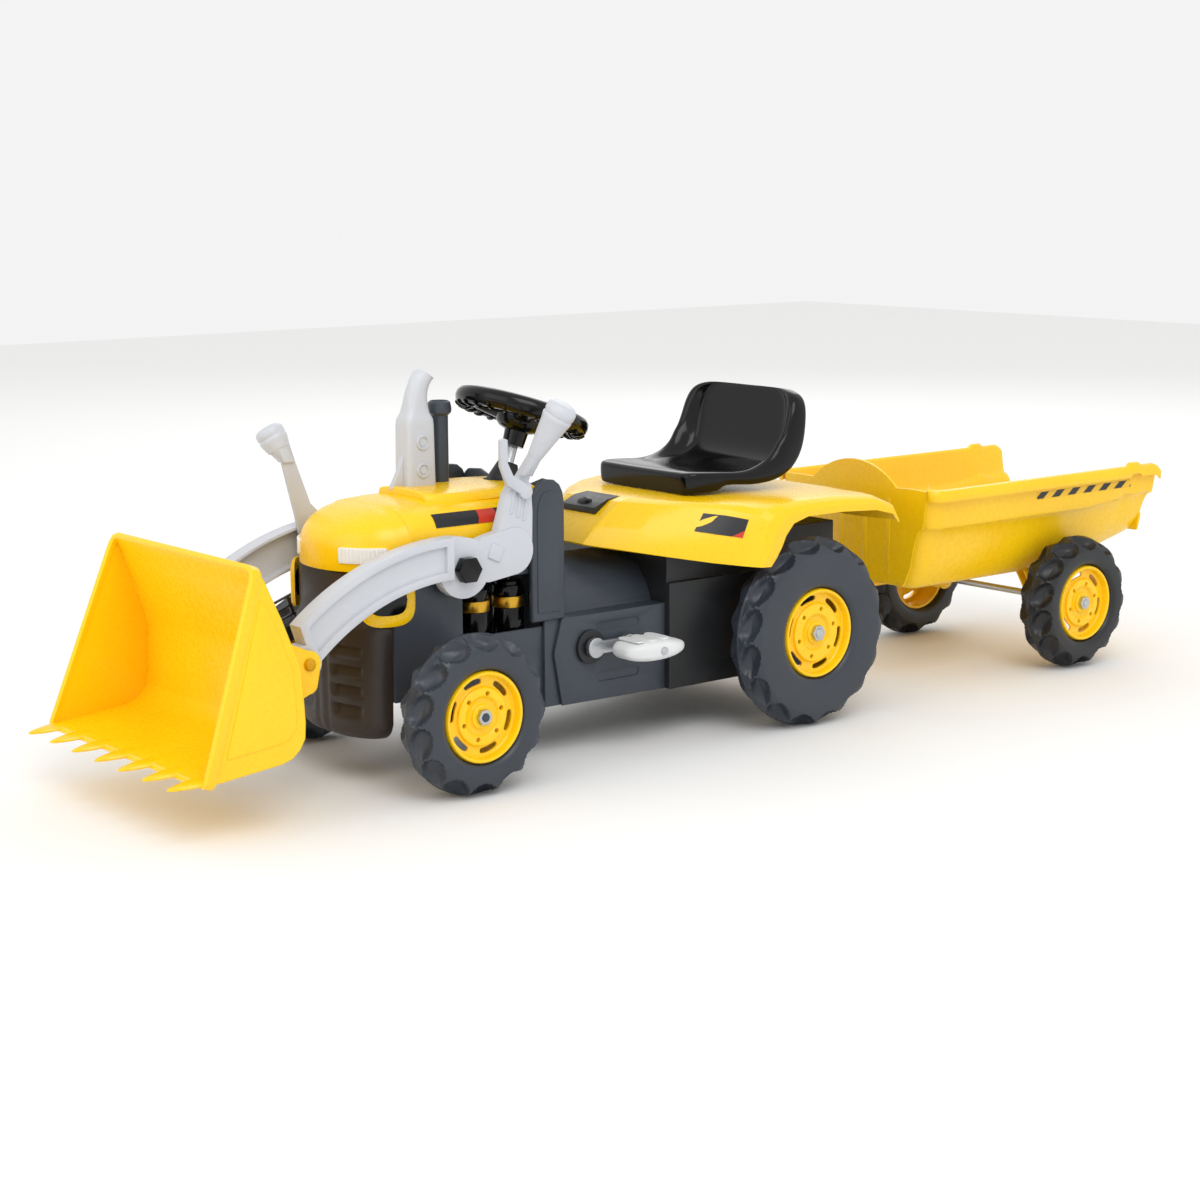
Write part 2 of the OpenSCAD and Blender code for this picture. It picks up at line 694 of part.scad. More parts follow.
// Dished rim around the Y axis with its open face towards +Y
module rim(r, w, bore) {
    rotate([-90, 0, 0]) difference() {
        union() {
            rotate_extrude($fn = 64) polygon([[bore, 4 - w / 2], [14, 4 - w / 2], [14, w / 2 - 20], [r - 20, w / 2 - 18],
                [r - 9, w / 2 - 26], [r - 6, w / 2 - 26], [r - 6, 8 - w / 2], [r, 7 - w / 2], [r, w / 2 - 7],
                [r - 4, w / 2 - 3], [r - 6, w / 2 - 7], [r - 7, w / 2 - 21], [r - 20, w / 2 - 12],
                [20, w / 2 - 12], [16, w / 2 - 9], [bore, w / 2 - 9]]);
        }
        for (k = [0 : 5])
            rotate(k * 60) {
                translate([r - 17, -9, w / 2 - 40]) cube([6, 18, 40]);
                rotate(30) translate([r - 25, 0, 0]) cylinder(r = 3, h = w);
            }
    }
}

front_wheel_y = front_track_half - small_tyre_w / 2;
rear_wheel_y = rear_track_half - rear_tyre_w / 2;
trailer_wheel_y = trailer_track_half - small_tyre_w / 2;

// Front wheels: hollow tyre, dished rim and nut on each side
module front_tyre_left() {
    color(slate) place() translate([wheelbase, front_wheel_y, front_axle_z])
        tyre(small_tyre_r, small_rim_r, small_tyre_w, small_lugs);
}
module front_tyre_right() { mirror([0, 1, 0]) front_tyre_left(); }
module front_rim_left() {
    color(yellow) place() translate([wheelbase, front_wheel_y, front_axle_z])
        rim(small_rim_r, small_tyre_w, stub_r + running);
}
module front_rim_right() { mirror([0, 1, 0]) front_rim_left(); }
module front_nut_left() {
    color(steel) place()
        nut_y(10, front_track_half - 8.5, front_track_half - 3, wheelbase, front_axle_z, stub_r + seat_gap);
}
module front_nut_right() { mirror([0, 1, 0]) front_nut_left(); }

// Solid rear axle across both bushes
module rear_axle() {
    color(steel) place() rod_y(rear_axle_r, 2 - rear_track_half, rear_track_half - 2, 0, rear_axle_z);
}
// Rear wheels, fixed to their axle
module rear_tyre_left() {
    color(slate) place() translate([0, rear_wheel_y, rear_axle_z])
        tyre(rear_tyre_r, rear_rim_r, rear_tyre_w, rear_lugs);
}
module rear_tyre_right() { mirror([0, 1, 0]) rear_tyre_left(); }
module rear_rim_left() {
    color(yellow) place() translate([0, rear_wheel_y, rear_axle_z])
        rim(rear_rim_r, rear_tyre_w, rear_axle_r + seat_gap);
}
module rear_rim_right() { mirror([0, 1, 0]) rear_rim_left(); }
// Nuts on both ends of the rear axle
module rear_hub_nuts() {
    color(steel) place() both()
        nut_y(11, rear_track_half - 8.9, rear_track_half - 3, 0, rear_axle_z, rear_axle_r + seat_gap);
}

// Crank: rod across the housing, an arm at each end and the two pedal pins
pedal_in = housing_half + 24;
// Crank axle with its two arms
module crank_axle() {
    color(silver_grey) place() translate([crank_x, 0, crank_z]) {
        rod_y(crank_r, -housing_half - 12, housing_half + 12, 0, 0);
        crank_arm(-1);
        mirror([0, 1, 0]) crank_arm(1);
    }
}

// Arm and pedal pin on the +Y side, towards ahead or behind
module crank_arm(ahead) {
    y0 = housing_half + 8;
    box(min(0, ahead * crank_len), max(0, ahead * crank_len), y0, y0 + 8, -8, 8);
    rod_y(13, y0, y0 + 8, 0, 0);
    rod_y(11, y0, y0 + 8, ahead * crank_len, 0);
    rod_y(5, y0, pedal_in + 62, ahead * crank_len, 0);
}

// Moulded pedal, bored for its pin
module pedal() {
    difference() {
        union() {
            along_y(pedal_in, pedal_in + 58) polygon([[-50, -1], [-36, -15], [30, -15], [48, -4], [48, 4],
                [30, 13], [-34, 13], [-50, 5]]);
            rod_y(14, pedal_in - 4, pedal_in + 60, 0, 0);
        }
        rod_y(5 + running, pedal_in - 6, pedal_in + 63, 0, 0);
    }
}
// Pedals at the ends of the crank arms
module pedal_left() { color("#dfe1e4") place() translate([crank_x - crank_len, 0, crank_z]) pedal(); }
module pedal_right() {
    color("#dfe1e4") place() translate([crank_x + crank_len, 0, crank_z]) mirror([0, 1, 0]) pedal();
}

// Curved channel and pivot plate that both arms share, on the +Y side
module arm_body() {
    difference() {
        union() {
            along_y(arm_in, arm_out) intersection() {
                translate([arc_x, arc_z]) difference() {
                    circle(r = arc_r, $fn = 180);
                    circle(r = arc_r - arm_width, $fn = 180);
                }
                polygon([[arc_x + 4, pivot_z - 40], [arc_x + 4, pivot_z + 60], [pin_x + 40, pivot_z + 60],
                    [pin_x, pin_z + 24], [pin_x - 14, pin_z - 10]]);
            }
            rod_y(21, arm_in, arm_out, pin_x, pin_z);
            along_y(arm_in, arm_out - 8) hull() {
                translate([pivot_x, pivot_z + 1]) circle(r = 37, $fn = 48);
                translate([pivot_x + 17, pivot_z + 16]) circle(r = 25, $fn = 32);
            }
        }
        along_y(arm_out - 5, arm_out + 1) intersection() {
            translate([arc_x, arc_z]) difference() {
                circle(r = arc_r - 9, $fn = 180);
                circle(r = arc_r - arm_width + 9, $fn = 180);
            }
            polygon([[arc_x + 14, pivot_z - 40], [arc_x + 14, pivot_z + 60], [pin_x + 20, pivot_z + 60],
                [pin_x - 10, pin_z + 24], [pin_x - 24, pin_z]]);
        }
        along_y(arm_in - 1, arm_in + 12) intersection() {
            translate([arc_x, arc_z]) difference() {
                circle(r = arc_r - 4, $fn = 180);
                circle(r = arc_r - arm_width + 4, $fn = 180);
            }
            polygon([[arc_x + 14, pivot_z - 40], [arc_x + 14, pivot_z + 60], [pin_x + 20, pivot_z + 60],
                [pin_x - 10, pin_z + 24], [pin_x - 24, pin_z]]);
        }
        rod_y(pivot_r + seat_gap, arm_in - 1, arm_out + 1, pivot_x, pivot_z);
        rod_y(pin_r + running, arm_in - 1, arm_out + 1, pin_x, pin_z);
    }
}

// Left arm with the lift lever rising from its plate
grip_out = 48;
module loader_arm_left() {
    color(silver_grey) place() {
        arm_body();
        along_y(arm_in, arm_out - 8) difference() {
            hull() {
                translate([pivot_x - 74, pivot_z + 14]) circle(r = 29, $fn = 32);
                translate([pivot_x - 36, pivot_z + 8]) circle(r = 28, $fn = 32);
            }
            translate([pivot_x, pivot_z + 1]) circle(r = 20);
        }
        difference() {
            along_y(arm_in, arm_out - 10) polygon([[pivot_x - 103, pivot_z + 14], [pivot_x - 50, pivot_z + 34],
                [pivot_x - 66, pivot_z + 84], [pivot_x - 78, pivot_z + 102], [pivot_x - 102, pivot_z + 96],
                [pivot_x - 104, pivot_z + 60]]);
            rod_y(3.5 + running, arm_out - 17, arm_out - 9, trigger_x, trigger_z);
        }
        difference() {
            union() {
                hull() {
                    box(pivot_x - 98, pivot_x - 82, arm_in, arm_out - 10, pivot_z + 94, pivot_z + 97);
                    translate([pivot_x - 101, arm_in + 26, pivot_z + 132]) sphere(r = 9, $fn = 24);
                }
                hull() {
                    translate([pivot_x - 101, arm_in + 26, pivot_z + 132]) sphere(r = 9, $fn = 24);
                    translate([pivot_x - 118, arm_in + grip_out, pivot_z + 178])
                        rotate([-20, -18, 0]) cylinder(r = 18, h = 10, $fn = 32);
                }
            }
            box(pivot_x - 200, pivot_x, 0, arm_in, pivot_z, pivot_z + 300);
            rod_y(21, arm_out - 10, arm_out + 20, trigger_x, trigger_z);
        }
    }
}

// Right arm, without a lever
module loader_arm_right() {
    color(silver_grey) place() mirror([0, 1, 0]) arm_body();
}

// Shaft that joins both arms through the chassis
module pivot_shaft() {
    color(steel) place() rod_y(pivot_r, -arm_out, arm_out, pivot_x, pivot_z);
}

// Hexagonal knob on each end of the shaft
module pivot_knobs() {
    color(gloss_black) place() both() {
        nut_y(17, arm_out - 8, arm_out, pivot_x, pivot_z, pivot_r + seat_gap);
        along_y(arm_out, arm_out + 5) translate([pivot_x, pivot_z]) circle(r = 17, $fn = 6);
    }
}

// Hooked finger lever in front of the left grip
module lever_trigger() {
    y0 = arm_out - 10 + side_gap;
    color(silver_grey) place() {
        along_y(y0, y0 + 7) {
            translate([trigger_x, trigger_z]) circle(r = 9);
            translate([trigger_x, trigger_z]) polygon([[0, -7], [28, 10], [38, 34], [38, 66], [33, 68], [28, 66],
                [28, 38], [20, 22], [-2, 8.5]]);
        }
        rod_y(3.5, y0 - 6, y0, trigger_x, trigger_z);
    }
}

// Right lever that turns on the shaft and pushes the link
module tip_lever() {
    color(silver_grey) place() mirror([0, 1, 0]) {
        difference() {
            union() {
                along_y(lever_in, lever_in + link_thick) translate([pivot_x, pivot_z]) {
                    circle(r = 20);
                    polygon([[-10, 17], [14, -14], [66, -13], [90, 26], [95, 50], [112, 118], [94, 121], [72, 62],
                        [52, 42]]);
                    polygon([[-13, 0], [-11, -link_drop], [11, -link_drop], [13, 0]]);
                    translate([0, -link_drop]) circle(r = 11);
                }
                hull() {
                    box(pivot_x + 95, pivot_x + 111, lever_in - 3, lever_in + 9, pivot_z + 116, pivot_z + 119);
                    translate([pivot_x + 112, lever_in + 16, pivot_z + 142])
                        rotate([-14, 14, 0]) cylinder(r = 17, h = 12, $fn = 32);
                }
            }
            rod_y(pivot_r + running, lever_in - 1, lever_in + link_thick + 1, pivot_x, pivot_z);
        }
        rod_y(5, link_in, lever_in, pivot_x, pivot_z - link_drop);
    }
}

// Ribbed link between the lever's crank and the bucket's crank
module tip_link() {
    color("#3a2f2a") place() mirror([0, 1, 0]) difference() {
        along_y(link_in, link_in + link_thick) {
            translate([pivot_x, pivot_z - link_drop]) circle(r = 9);
            translate([pin_x, pin_z - link_drop]) circle(r = 9);
            translate([pivot_x, pivot_z - link_drop]) rotate(-arm_slope) {
                translate([0, -8]) square([arm_reach, 16]);
                translate([62, -13]) square([arm_reach - 110, 26]);
            }
        }
        rod_y(5 + running, link_in - 1, link_in + link_thick + 1, pivot_x, pivot_z - link_drop);
        rod_y(5 + running, link_in - 1, link_in + link_thick + 1, pin_x, pin_z - link_drop);
        along_y(link_in - 1, link_in + link_thick + 1) translate([pivot_x, pivot_z - link_drop])
            rotate(-arm_slope) for (k = [0 : 4], side = [-11, 1])
                translate([66 + k * (arm_reach - 118) / 5, side]) square([(arm_reach - 118) / 5 - 4, 10]);
    }
}

// Corners of the bucket's side outline, from the pins
mouth_low = [pin_x + 166, pin_z - 107];
mouth_high = [pin_x + 82, pin_z + 124];
bucket_side = [mouth_high, [pin_x + 48, pin_z + 44], [pin_x + 35, pin_z + 10],
    [pin_x + 33, pin_z - 72], [pin_x + 56, pin_z - 97], mouth_low];
bucket_spread = [22, 22, 20, 12, 6, 0];

// Convex volume through the side outline, shrunk by inset and stretched by reach through the mouth
module bucket_volume(inset, reach) {
    shift_x = [reach, inset, inset, inset, inset, reach];
    shift_z = [reach * 0.4, 0, 0, 0, inset, inset];
    hull() for (k = [0 : 5])
        translate([bucket_side[k][0] + shift_x[k], 0, bucket_side[k][1] + shift_z[k]])
            cube([0.1, 2 * (bucket_half - bucket_spread[k] - inset), 0.1], center = true);
}

// Bucket with flared sides, teeth and the lugs behind it
module bucket() {
    color(yellow) place() difference() {
        union() {
            difference() {
                bucket_volume(0, 0);
                bucket_volume(bucket_wall, 24);
            }
            for (k = [0 : bucket_teeth - 1])
                translate([mouth_low[0] - 10, (k - (bucket_teeth - 1) / 2) * 2 * (bucket_half - 18) / (bucket_teeth - 1),
                    mouth_low[1]]) linear_extrude(5) polygon([[0, -14], [14, -14], [10 + tooth_len, -3],
                        [10 + tooth_len, 3], [14, 14], [0, 14]]);
            both() {
                along_y(link_in - 1.5 - lug_thick, link_in - 1.5) bucket_lug();
                along_y(lug_out, lug_out + lug_thick) bucket_lug();
            }
        }
        both() rod_y(pin_r + seat_gap, 0, bucket_half, pin_x, pin_z);
    }
}

// Lug outline from the pin to the bucket's back
module bucket_lug() {
    translate([pin_x, pin_z]) circle(r = 16);
    translate([pin_x, pin_z - link_drop]) circle(r = 11);
    polygon([[pin_x - 11, pin_z - link_drop], [pin_x - 16, pin_z], [pin_x, pin_z + 16], [pin_x + 46, pin_z + 36],
        [pin_x + 36, pin_z + 10], [pin_x + 36, pin_z - 50], [pin_x, pin_z - link_drop - 11]]);
}

// Pins through the lugs and arms, and the right crank pin for the link
module bucket_pins() {
    color(steel) place() {
        both() rod_y(pin_r, link_in - 1.5 - lug_thick, lug_out + lug_thick, pin_x, pin_z);
        mirror([0, 1, 0]) rod_y(5, link_in - 1.5, link_in + link_thick + 0.5, pin_x, pin_z - link_drop);
    }
}

// Convex volume of the tub, shrunk by inset
module tub_volume(inset, open_rear) {
    low_front = tub_front - 26;
    low_rear = trailer_axle_x - 88;
    hull() {
        box(low_rear, low_front - inset, -tub_half + 49 + inset, tub_half - 49 - inset,
            tub_floor + inset, tub_floor + inset + 1);
        box(tub_rear + (open_rear ? -10 : 0), tub_front - 8 - inset, -tub_half + inset, tub_half - inset,
            tub_rim - 8, tub_rim + (inset > 0 ? 20 : 0));
        box(tub_rear + (open_rear ? -10 : 0), tub_front - 8 - inset, -tub_half + 6 + inset, tub_half - 6 - inset,
            tub_floor + 90 + inset, tub_floor + 92 + inset);
        box(tub_rear + (open_rear ? -10 : 0), low_rear, -tub_half + 28 + inset, tub_half - 28 - inset,
            tub_floor + 34 + inset, tub_floor + 36 + inset);
        box(tub_front - 20, tub_front - inset, -tub_half + 50, tub_half - 50, tub_rim - 60, tub_rim - 4);
    }
}

// Tub with an arched front wall, an open rear and two legs for the axle
module trailer_tub() {
    color(yellow) place() difference() {
        union() {
            difference() {
                union() {
                    tub_volume(0, false);
                    intersection() {
                        translate([tub_front - 12, 0, tub_rim - 86]) rotate([0, 90, 0]) cylinder(r = 122, h = 10);
                        box(tub_front - 12, tub_front - 2, -90, 90, tub_rim - 20, tub_rim + 60);
                    }
                }
                intersection() {
                    tub_volume(wall, true);
                    box(tub_rear - 20, tub_front - 12, -tub_half, tub_half, 0, tub_rim + 60);
                }
            }
            both() box(trailer_axle_x - 12, trailer_axle_x + 12, tub_half - 58, tub_half - 46,
                front_axle_z - 10, tub_floor + 2);
        }
        both() rod_y(stub_r + seat_gap, 0, tub_half, trailer_axle_x, front_axle_z);
    }
}

// Bar from the hitch to the underside of the tub
module trailer_drawbar() {
    color(gloss_black) place() difference() {
        union() {
            box(tub_front - 150, hitch_x, -16, 16, hitch_z - 5, tub_floor);
            translate([hitch_x, 0, hitch_z - 5]) cylinder(r = 18, h = 10);
        }
        box(hitch_x - 22, hitch_x + 30, -30, 30, hitch_z + 5, tub_floor + 1);
        translate([hitch_x, 0, 90]) cylinder(r = 6 + running, h = 80);
    }
}

// Plain axle through both legs of the tub
module trailer_axle() {
    color(steel) place() rod_y(stub_r, 2 - trailer_track_half, trailer_track_half - 2, trailer_axle_x, front_axle_z);
}
// Nuts on both ends of the axle
module trailer_nuts() {
    color(steel) place() both() nut_y(10, trailer_track_half - 8.5, trailer_track_half - 3,
        trailer_axle_x, front_axle_z, stub_r + seat_gap);
}
// Trailer wheels: the tractor's front wheels again
module trailer_tyre_left() {
    color("#2c2d30") place() translate([trailer_axle_x, trailer_wheel_y, front_axle_z])
        tyre(small_tyre_r, small_rim_r, small_tyre_w, small_lugs);
}
module trailer_tyre_right() { mirror([0, 1, 0]) trailer_tyre_left(); }
module trailer_rim_left() {
    color(yellow) place() translate([trailer_axle_x, trailer_wheel_y, front_axle_z])
        rim(small_rim_r, small_tyre_w, stub_r + running);
}
module trailer_rim_right() { mirror([0, 1, 0]) trailer_rim_left(); }

front_chassis();
front_axle_beam();
front_grille();
hood();
headlight_lenses();
lamp_surrounds();
engine_cylinders();
cylinder_bands();
dash_fairing();
column_boot();
exhaust_stack();
drive_housing();
seat_box();
axle_bushes();
rear_cover();
tow_hitch();
hitch_pin();
drive_chain();
seat();
steering_wheel();
steering_column();
horn_spring();
horn_button();
knuckle_left();
knuckle_right();
front_nut_left();
front_nut_right();
tie_rod();
front_tyre_left();
front_tyre_right();
front_rim_left();
front_rim_right();
rear_axle();
rear_tyre_left();
rear_tyre_right();
rear_rim_left();
rear_rim_right();
rear_hub_nuts();
driven_sprocket();
crank_axle();
drive_sprocket();
pedal_left();
pedal_right();
loader_arm_left();
loader_arm_right();
pivot_shaft();
pivot_knobs();
lever_trigger();
tip_lever();
tip_link();
bucket();
bucket_pins();
trailer_tub();
trailer_drawbar();
trailer_axle();
trailer_nuts();
trailer_tyre_left();
trailer_tyre_right();
trailer_rim_left();
trailer_rim_right();
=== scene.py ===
"""Looks for a child's pedal tractor with a front bucket and a two-wheel trailer.

Sizes in the classes are millimetres. x runs forwards from the rear axle, y to
the driver's left and z up from the ground; at() turns them into the row frame.
"""

import logging
import math
from collections.abc import Callable, Iterable, Sequence
from dataclasses import dataclass, field
from enum import Enum

import bmesh
import bpy
from mathutils import Matrix, Vector


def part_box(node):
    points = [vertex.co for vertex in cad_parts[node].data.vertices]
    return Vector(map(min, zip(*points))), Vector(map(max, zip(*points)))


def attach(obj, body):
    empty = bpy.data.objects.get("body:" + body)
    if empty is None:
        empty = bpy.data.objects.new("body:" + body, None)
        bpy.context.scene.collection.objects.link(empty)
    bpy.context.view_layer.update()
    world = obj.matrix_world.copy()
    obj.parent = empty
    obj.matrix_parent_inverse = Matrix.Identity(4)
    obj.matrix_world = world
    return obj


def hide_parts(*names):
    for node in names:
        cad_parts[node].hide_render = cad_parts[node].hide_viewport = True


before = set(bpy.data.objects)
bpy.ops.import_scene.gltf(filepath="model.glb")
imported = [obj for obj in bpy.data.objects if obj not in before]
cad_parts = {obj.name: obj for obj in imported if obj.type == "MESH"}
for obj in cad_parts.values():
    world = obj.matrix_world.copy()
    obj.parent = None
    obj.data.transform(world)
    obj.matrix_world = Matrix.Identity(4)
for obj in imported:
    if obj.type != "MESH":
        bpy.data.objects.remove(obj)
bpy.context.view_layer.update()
AXLE_X = sum(corner.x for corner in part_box("rear_axle")) / 2
MM = 0.001
log = logging.getLogger("pedal_tractor")

Point = tuple[float, float, float]
Pair = tuple[float, float]
Piece = bpy.types.Object


# ---------------------------------------------------------------- places


def at(x: float, y: float, z: float) -> Vector:
    """Turns a place in millimetres into a point of the row frame in metres.

    Args:
        x: distance forwards of the rear axle.
        y: distance to the driver's left of the middle.
        z: height above the ground.

    Returns:
        The point in metres.
    """
    return Vector((AXLE_X + x * MM, y * MM, z * MM))


def design(point: Vector) -> Vector:
    """Returns a row frame point as x, y, z in millimetres from the rear axle."""
    return Vector(((point.x - AXLE_X) / MM, point.y / MM, point.z / MM))


# ---------------------------------------------------------------- modelling


def clear_selection() -> None:
    """Leaves edit mode and deselects every object."""
    if bpy.context.mode != "OBJECT":
        bpy.ops.object.mode_set(mode="OBJECT")
    bpy.ops.object.select_all(action="DESELECT")


def only(piece: Piece) -> None:
    """Makes one object the only selected and the active one."""
    clear_selection()
    piece.select_set(True)
    bpy.context.view_layer.objects.active = piece


def start(kind: Callable, name: str, **sizes: object) -> Piece:
    """Adds a primitive at its size and place, as the start of a piece.

    Args:
        kind: the primitive's operator.
        name: the piece's name.
        sizes: the operator's settings, in metres and radians.

    Returns:
        The new object.
    """
    clear_selection()
    kind(**sizes)
    piece = bpy.context.active_object
    piece.name = piece.data.name = name
    return piece


def edit(piece: Piece, kind: str = "FACE") -> None:
    """Opens one object in edit mode with nothing selected.

    Args:
        piece: the object to open.
        kind: VERT, EDGE or FACE, the parts that selecting works on.
    """
    only(piece)
    bpy.ops.object.mode_set(mode="EDIT")
    bpy.ops.mesh.select_mode(type=kind)
    bpy.ops.mesh.select_all(action="DESELECT")


def shaped_by(rule: Callable[[Vector], Vector]) -> None:
    """Moves each corner of the open mesh by a rule from and to design millimetres."""
    piece = bpy.context.edit_object
    net = bmesh.from_edit_mesh(piece.data)
    for corner in net.verts:
        corner.co = at(*rule(design(corner.co)))
    bmesh.update_edit_mesh(piece.data)


def trace(name: str, points: Sequence[Point], closed: bool = True) -> Piece:
    """Draws a ring or a line of edges through points.

    Args:
        name: the piece's name.
        points: the corners in design millimetres.
        closed: whether the last corner joins the first.

    Returns:
        The new object, open in edit mode with all of it selected.
    """
    count = len(points)
    piece = start(bpy.ops.mesh.primitive_circle_add, name, vertices=count, fill_type="NOTHING")
    edit(piece, "VERT")
    net = bmesh.from_edit_mesh(piece.data)
    net.verts.ensure_lookup_table()
    for corner, place in zip(net.verts, points):
        corner.co = at(*place)
    if not closed:
        last = net.edges.get((net.verts[0], net.verts[count - 1]))
        net.edges.remove(last)
    bmesh.update_edit_mesh(piece.data)
    bpy.ops.mesh.select_all(action="SELECT")
    return piece


def loft(
    name: str, sections: Sequence[Sequence[Point]], closed: bool = True, caps: bool = True
) -> Piece:
    """Skins a piece through sections by extruding each one to the next.

    Args:
        name: the piece's name.
        sections: rings or lines with the same number of corners, in design millimetres.
        closed: whether each section is a ring.
        caps: whether the first and last rings are filled.

    Returns:
        The new object in object mode, with its normals outwards.
    """
    piece = trace(name, sections[0], closed)
    for here, there in zip(sections, sections[1:]):
        bpy.ops.mesh.extrude_region_move()
        net = bmesh.from_edit_mesh(piece.data)
        places = {tuple(round(v, 6) for v in at(*p)): at(*q) for p, q in zip(here, there)}
        for corner in net.verts:
            if corner.select:
                corner.co = places[tuple(round(v, 6) for v in corner.co)]
        bmesh.update_edit_mesh(piece.data)
    if closed and caps:
        for ring in (sections[0], sections[-1]):
            corners = {tuple(round(v, 6) for v in at(*p)) for p in ring}
            net = bmesh.from_edit_mesh(piece.data)
            bpy.ops.mesh.select_all(action="DESELECT")
            for corner in net.verts:
                corner.select = tuple(round(v, 6) for v in corner.co) in corners
            net.select_flush_mode()
            bmesh.update_edit_mesh(piece.data)
            bpy.ops.mesh.edge_face_add()
    close_up(piece)
    return piece


def lathe(
    name: str, profile: Sequence[Pair], centre: Point, steps: int
) -> Piece:
    """Spins a profile round an axis along y.

    Args:
        name: the piece's name.
        profile: corners as radius and distance along y, closed where it returns to its start.
        centre: the axis in design millimetres, with y where the distances start.
        steps: how many faces go round.

    Returns:
        The new object in object mode.
    """
    closed = profile[0] == profile[-1]
    corners = profile[:-1] if closed else profile
    x, y, z = centre
    piece = trace(name, [(x, y + along, z + radius) for radius, along in corners], closed)
    bpy.ops.mesh.spin(steps=steps, angle=math.tau, center=at(*centre), axis=(0, 1, 0))
    close_up(piece)
    return piece


def close_up(piece: Piece) -> None:
    """Merges doubled corners, turns the faces outwards and leaves edit mode."""
    if bpy.context.mode == "OBJECT":
        edit(piece)
    bpy.ops.mesh.select_all(action="SELECT")
    bpy.ops.mesh.remove_doubles(threshold=0.00002)
    bpy.ops.mesh.normals_make_consistent(inside=False)
    bpy.ops.object.mode_set(mode="OBJECT")


def modify(piece: Piece, kind: str, keep: bool = False, **settings: object) -> None:
    """Adds a modifier with its settings and applies it.

    Args:
        piece: the object it goes on.
        kind: the modifier's type.
        keep: leaves the modifier live.
        settings: its settings, in metres and radians.
    """
    change = piece.modifiers.new(kind.title(), kind)
    for key, value in settings.items():
        setattr(change, key, value)
    if not keep:
        only(piece)
        bpy.ops.object.modifier_apply(modifier=change.name)


def smoothed(piece: Piece, levels: int = 1) -> None:
    """Rounds a piece off with applied subdivision."""
    modify(piece, "SUBSURF", levels=levels, render_levels=levels)


def rounded(piece: Piece, width: float, segments: int = 2, angle: float = 32) -> None:
    """Bevels a piece's sharp edges.

    Args:
        piece: the object to bevel.
        width: the bevel's width in millimetres.
        segments: how many faces go round each edge.
        angle: edges sharper than this many degrees are bevelled.
    """
    modify(
        piece, "BEVEL", width=width * MM, segments=segments, limit_method="ANGLE",
        angle_limit=math.radians(angle),
    )


def shaded(piece: Piece, angle: float = 34) -> None:
    """Shades a piece smooth, but for edges sharper than an angle in degrees."""
    only(piece)
    bpy.ops.object.shade_smooth_by_angle(angle=math.radians(angle))


def twin(piece: Piece, name: str) -> Piece:
    """Mirrors a copy of a piece to the other side.

    Args:
        piece: the piece on one side.
        name: the copy's name.

    Returns:
        The copy, with its own mesh and outward normals.
    """
    only(piece)
    bpy.ops.object.duplicate(linked=False)
    copy = bpy.context.active_object
    copy.name = copy.data.name = name
    copy.data.transform(Matrix.Scale(-1, 4, (0, 1, 0)))
    edit(copy)
    bpy.ops.mesh.select_all(action="SELECT")
    bpy.ops.mesh.flip_normals()
    bpy.ops.object.mode_set(mode="OBJECT")
    return copy


def soft_edges(node: str, width: float, angle: float = 30) -> Piece:
    """Gives a kept CAD node the rounded edges of a moulding, on live modifiers.

    Args:
        node: the CAD node.
        width: the rounding's width in millimetres.
        angle: edges sharper than this many degrees are rounded.

    Returns:
        The node's object.
    """
    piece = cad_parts[node]
    for face in piece.data.polygons:
        face.use_smooth = True
    modify(piece, "WELD", keep=True, merge_threshold=0.00001)
    modify(
        piece, "DECIMATE", keep=True, decimate_type="DISSOLVE", angle_limit=math.radians(1),
    )
    modify(
        piece, "BEVEL", keep=True, width=width * MM, segments=2, limit_method="ANGLE",
        angle_limit=math.radians(angle), harden_normals=True,
    )
    return piece


# ---------------------------------------------------------------- finishes


def linear(code: str, alpha: float = 1.0) -> tuple[float, float, float, float]:
    """Turns an sRGB hex colour into linear values.

    Args:
        code: the colour, such as "#ffd800".
        alpha: the last value.

    Returns:
        Red, green, blue and alpha.
    """
    parts = [int(code[k : k + 2], 16) / 255 for k in (1, 3, 5)]
    red, green, blue = (
        c / 12.92 if c <= 0.04045 else ((c + 0.055) / 1.055) ** 2.4 for c in parts
    )
    return (red, green, blue, alpha)


def add(
    tree: bpy.types.NodeTree, kind: str, settings: dict[str, object] | None = None,
    links: Iterable[tuple[bpy.types.Node, str, str | int]] = (),
) -> bpy.types.Node:
    """Adds a shader node with its settings and the links into it.

    Args:
        tree: the material's nodes.
        kind: the node's type.
        settings: values by socket name, or by property name.
        links: source node, source socket and this node's socket.

    Returns:
        The new node.
    """
    node = tree.nodes.new(kind)
    for key, value in (settings or {}).items():
        if key in node.inputs:
            node.inputs[key].default_value = value
        else:
            setattr(node, key, value)
    for source, out, into in links:
        tree.links.new(source.outputs[out], node.inputs[into])
    return node


def blank(name: str) -> tuple[bpy.types.Material, bpy.types.NodeTree]:
    """Returns a new material with only its output node, and its nodes."""
    material = bpy.data.materials.new(name)
    material.use_nodes = True
    material.node_tree.nodes.clear()
    return material, material.node_tree


def dress(piece: Piece, material: bpy.types.Material) -> None:
    """Gives a whole piece one material."""
    piece.data.materials.clear()
    piece.data.materials.append(material)


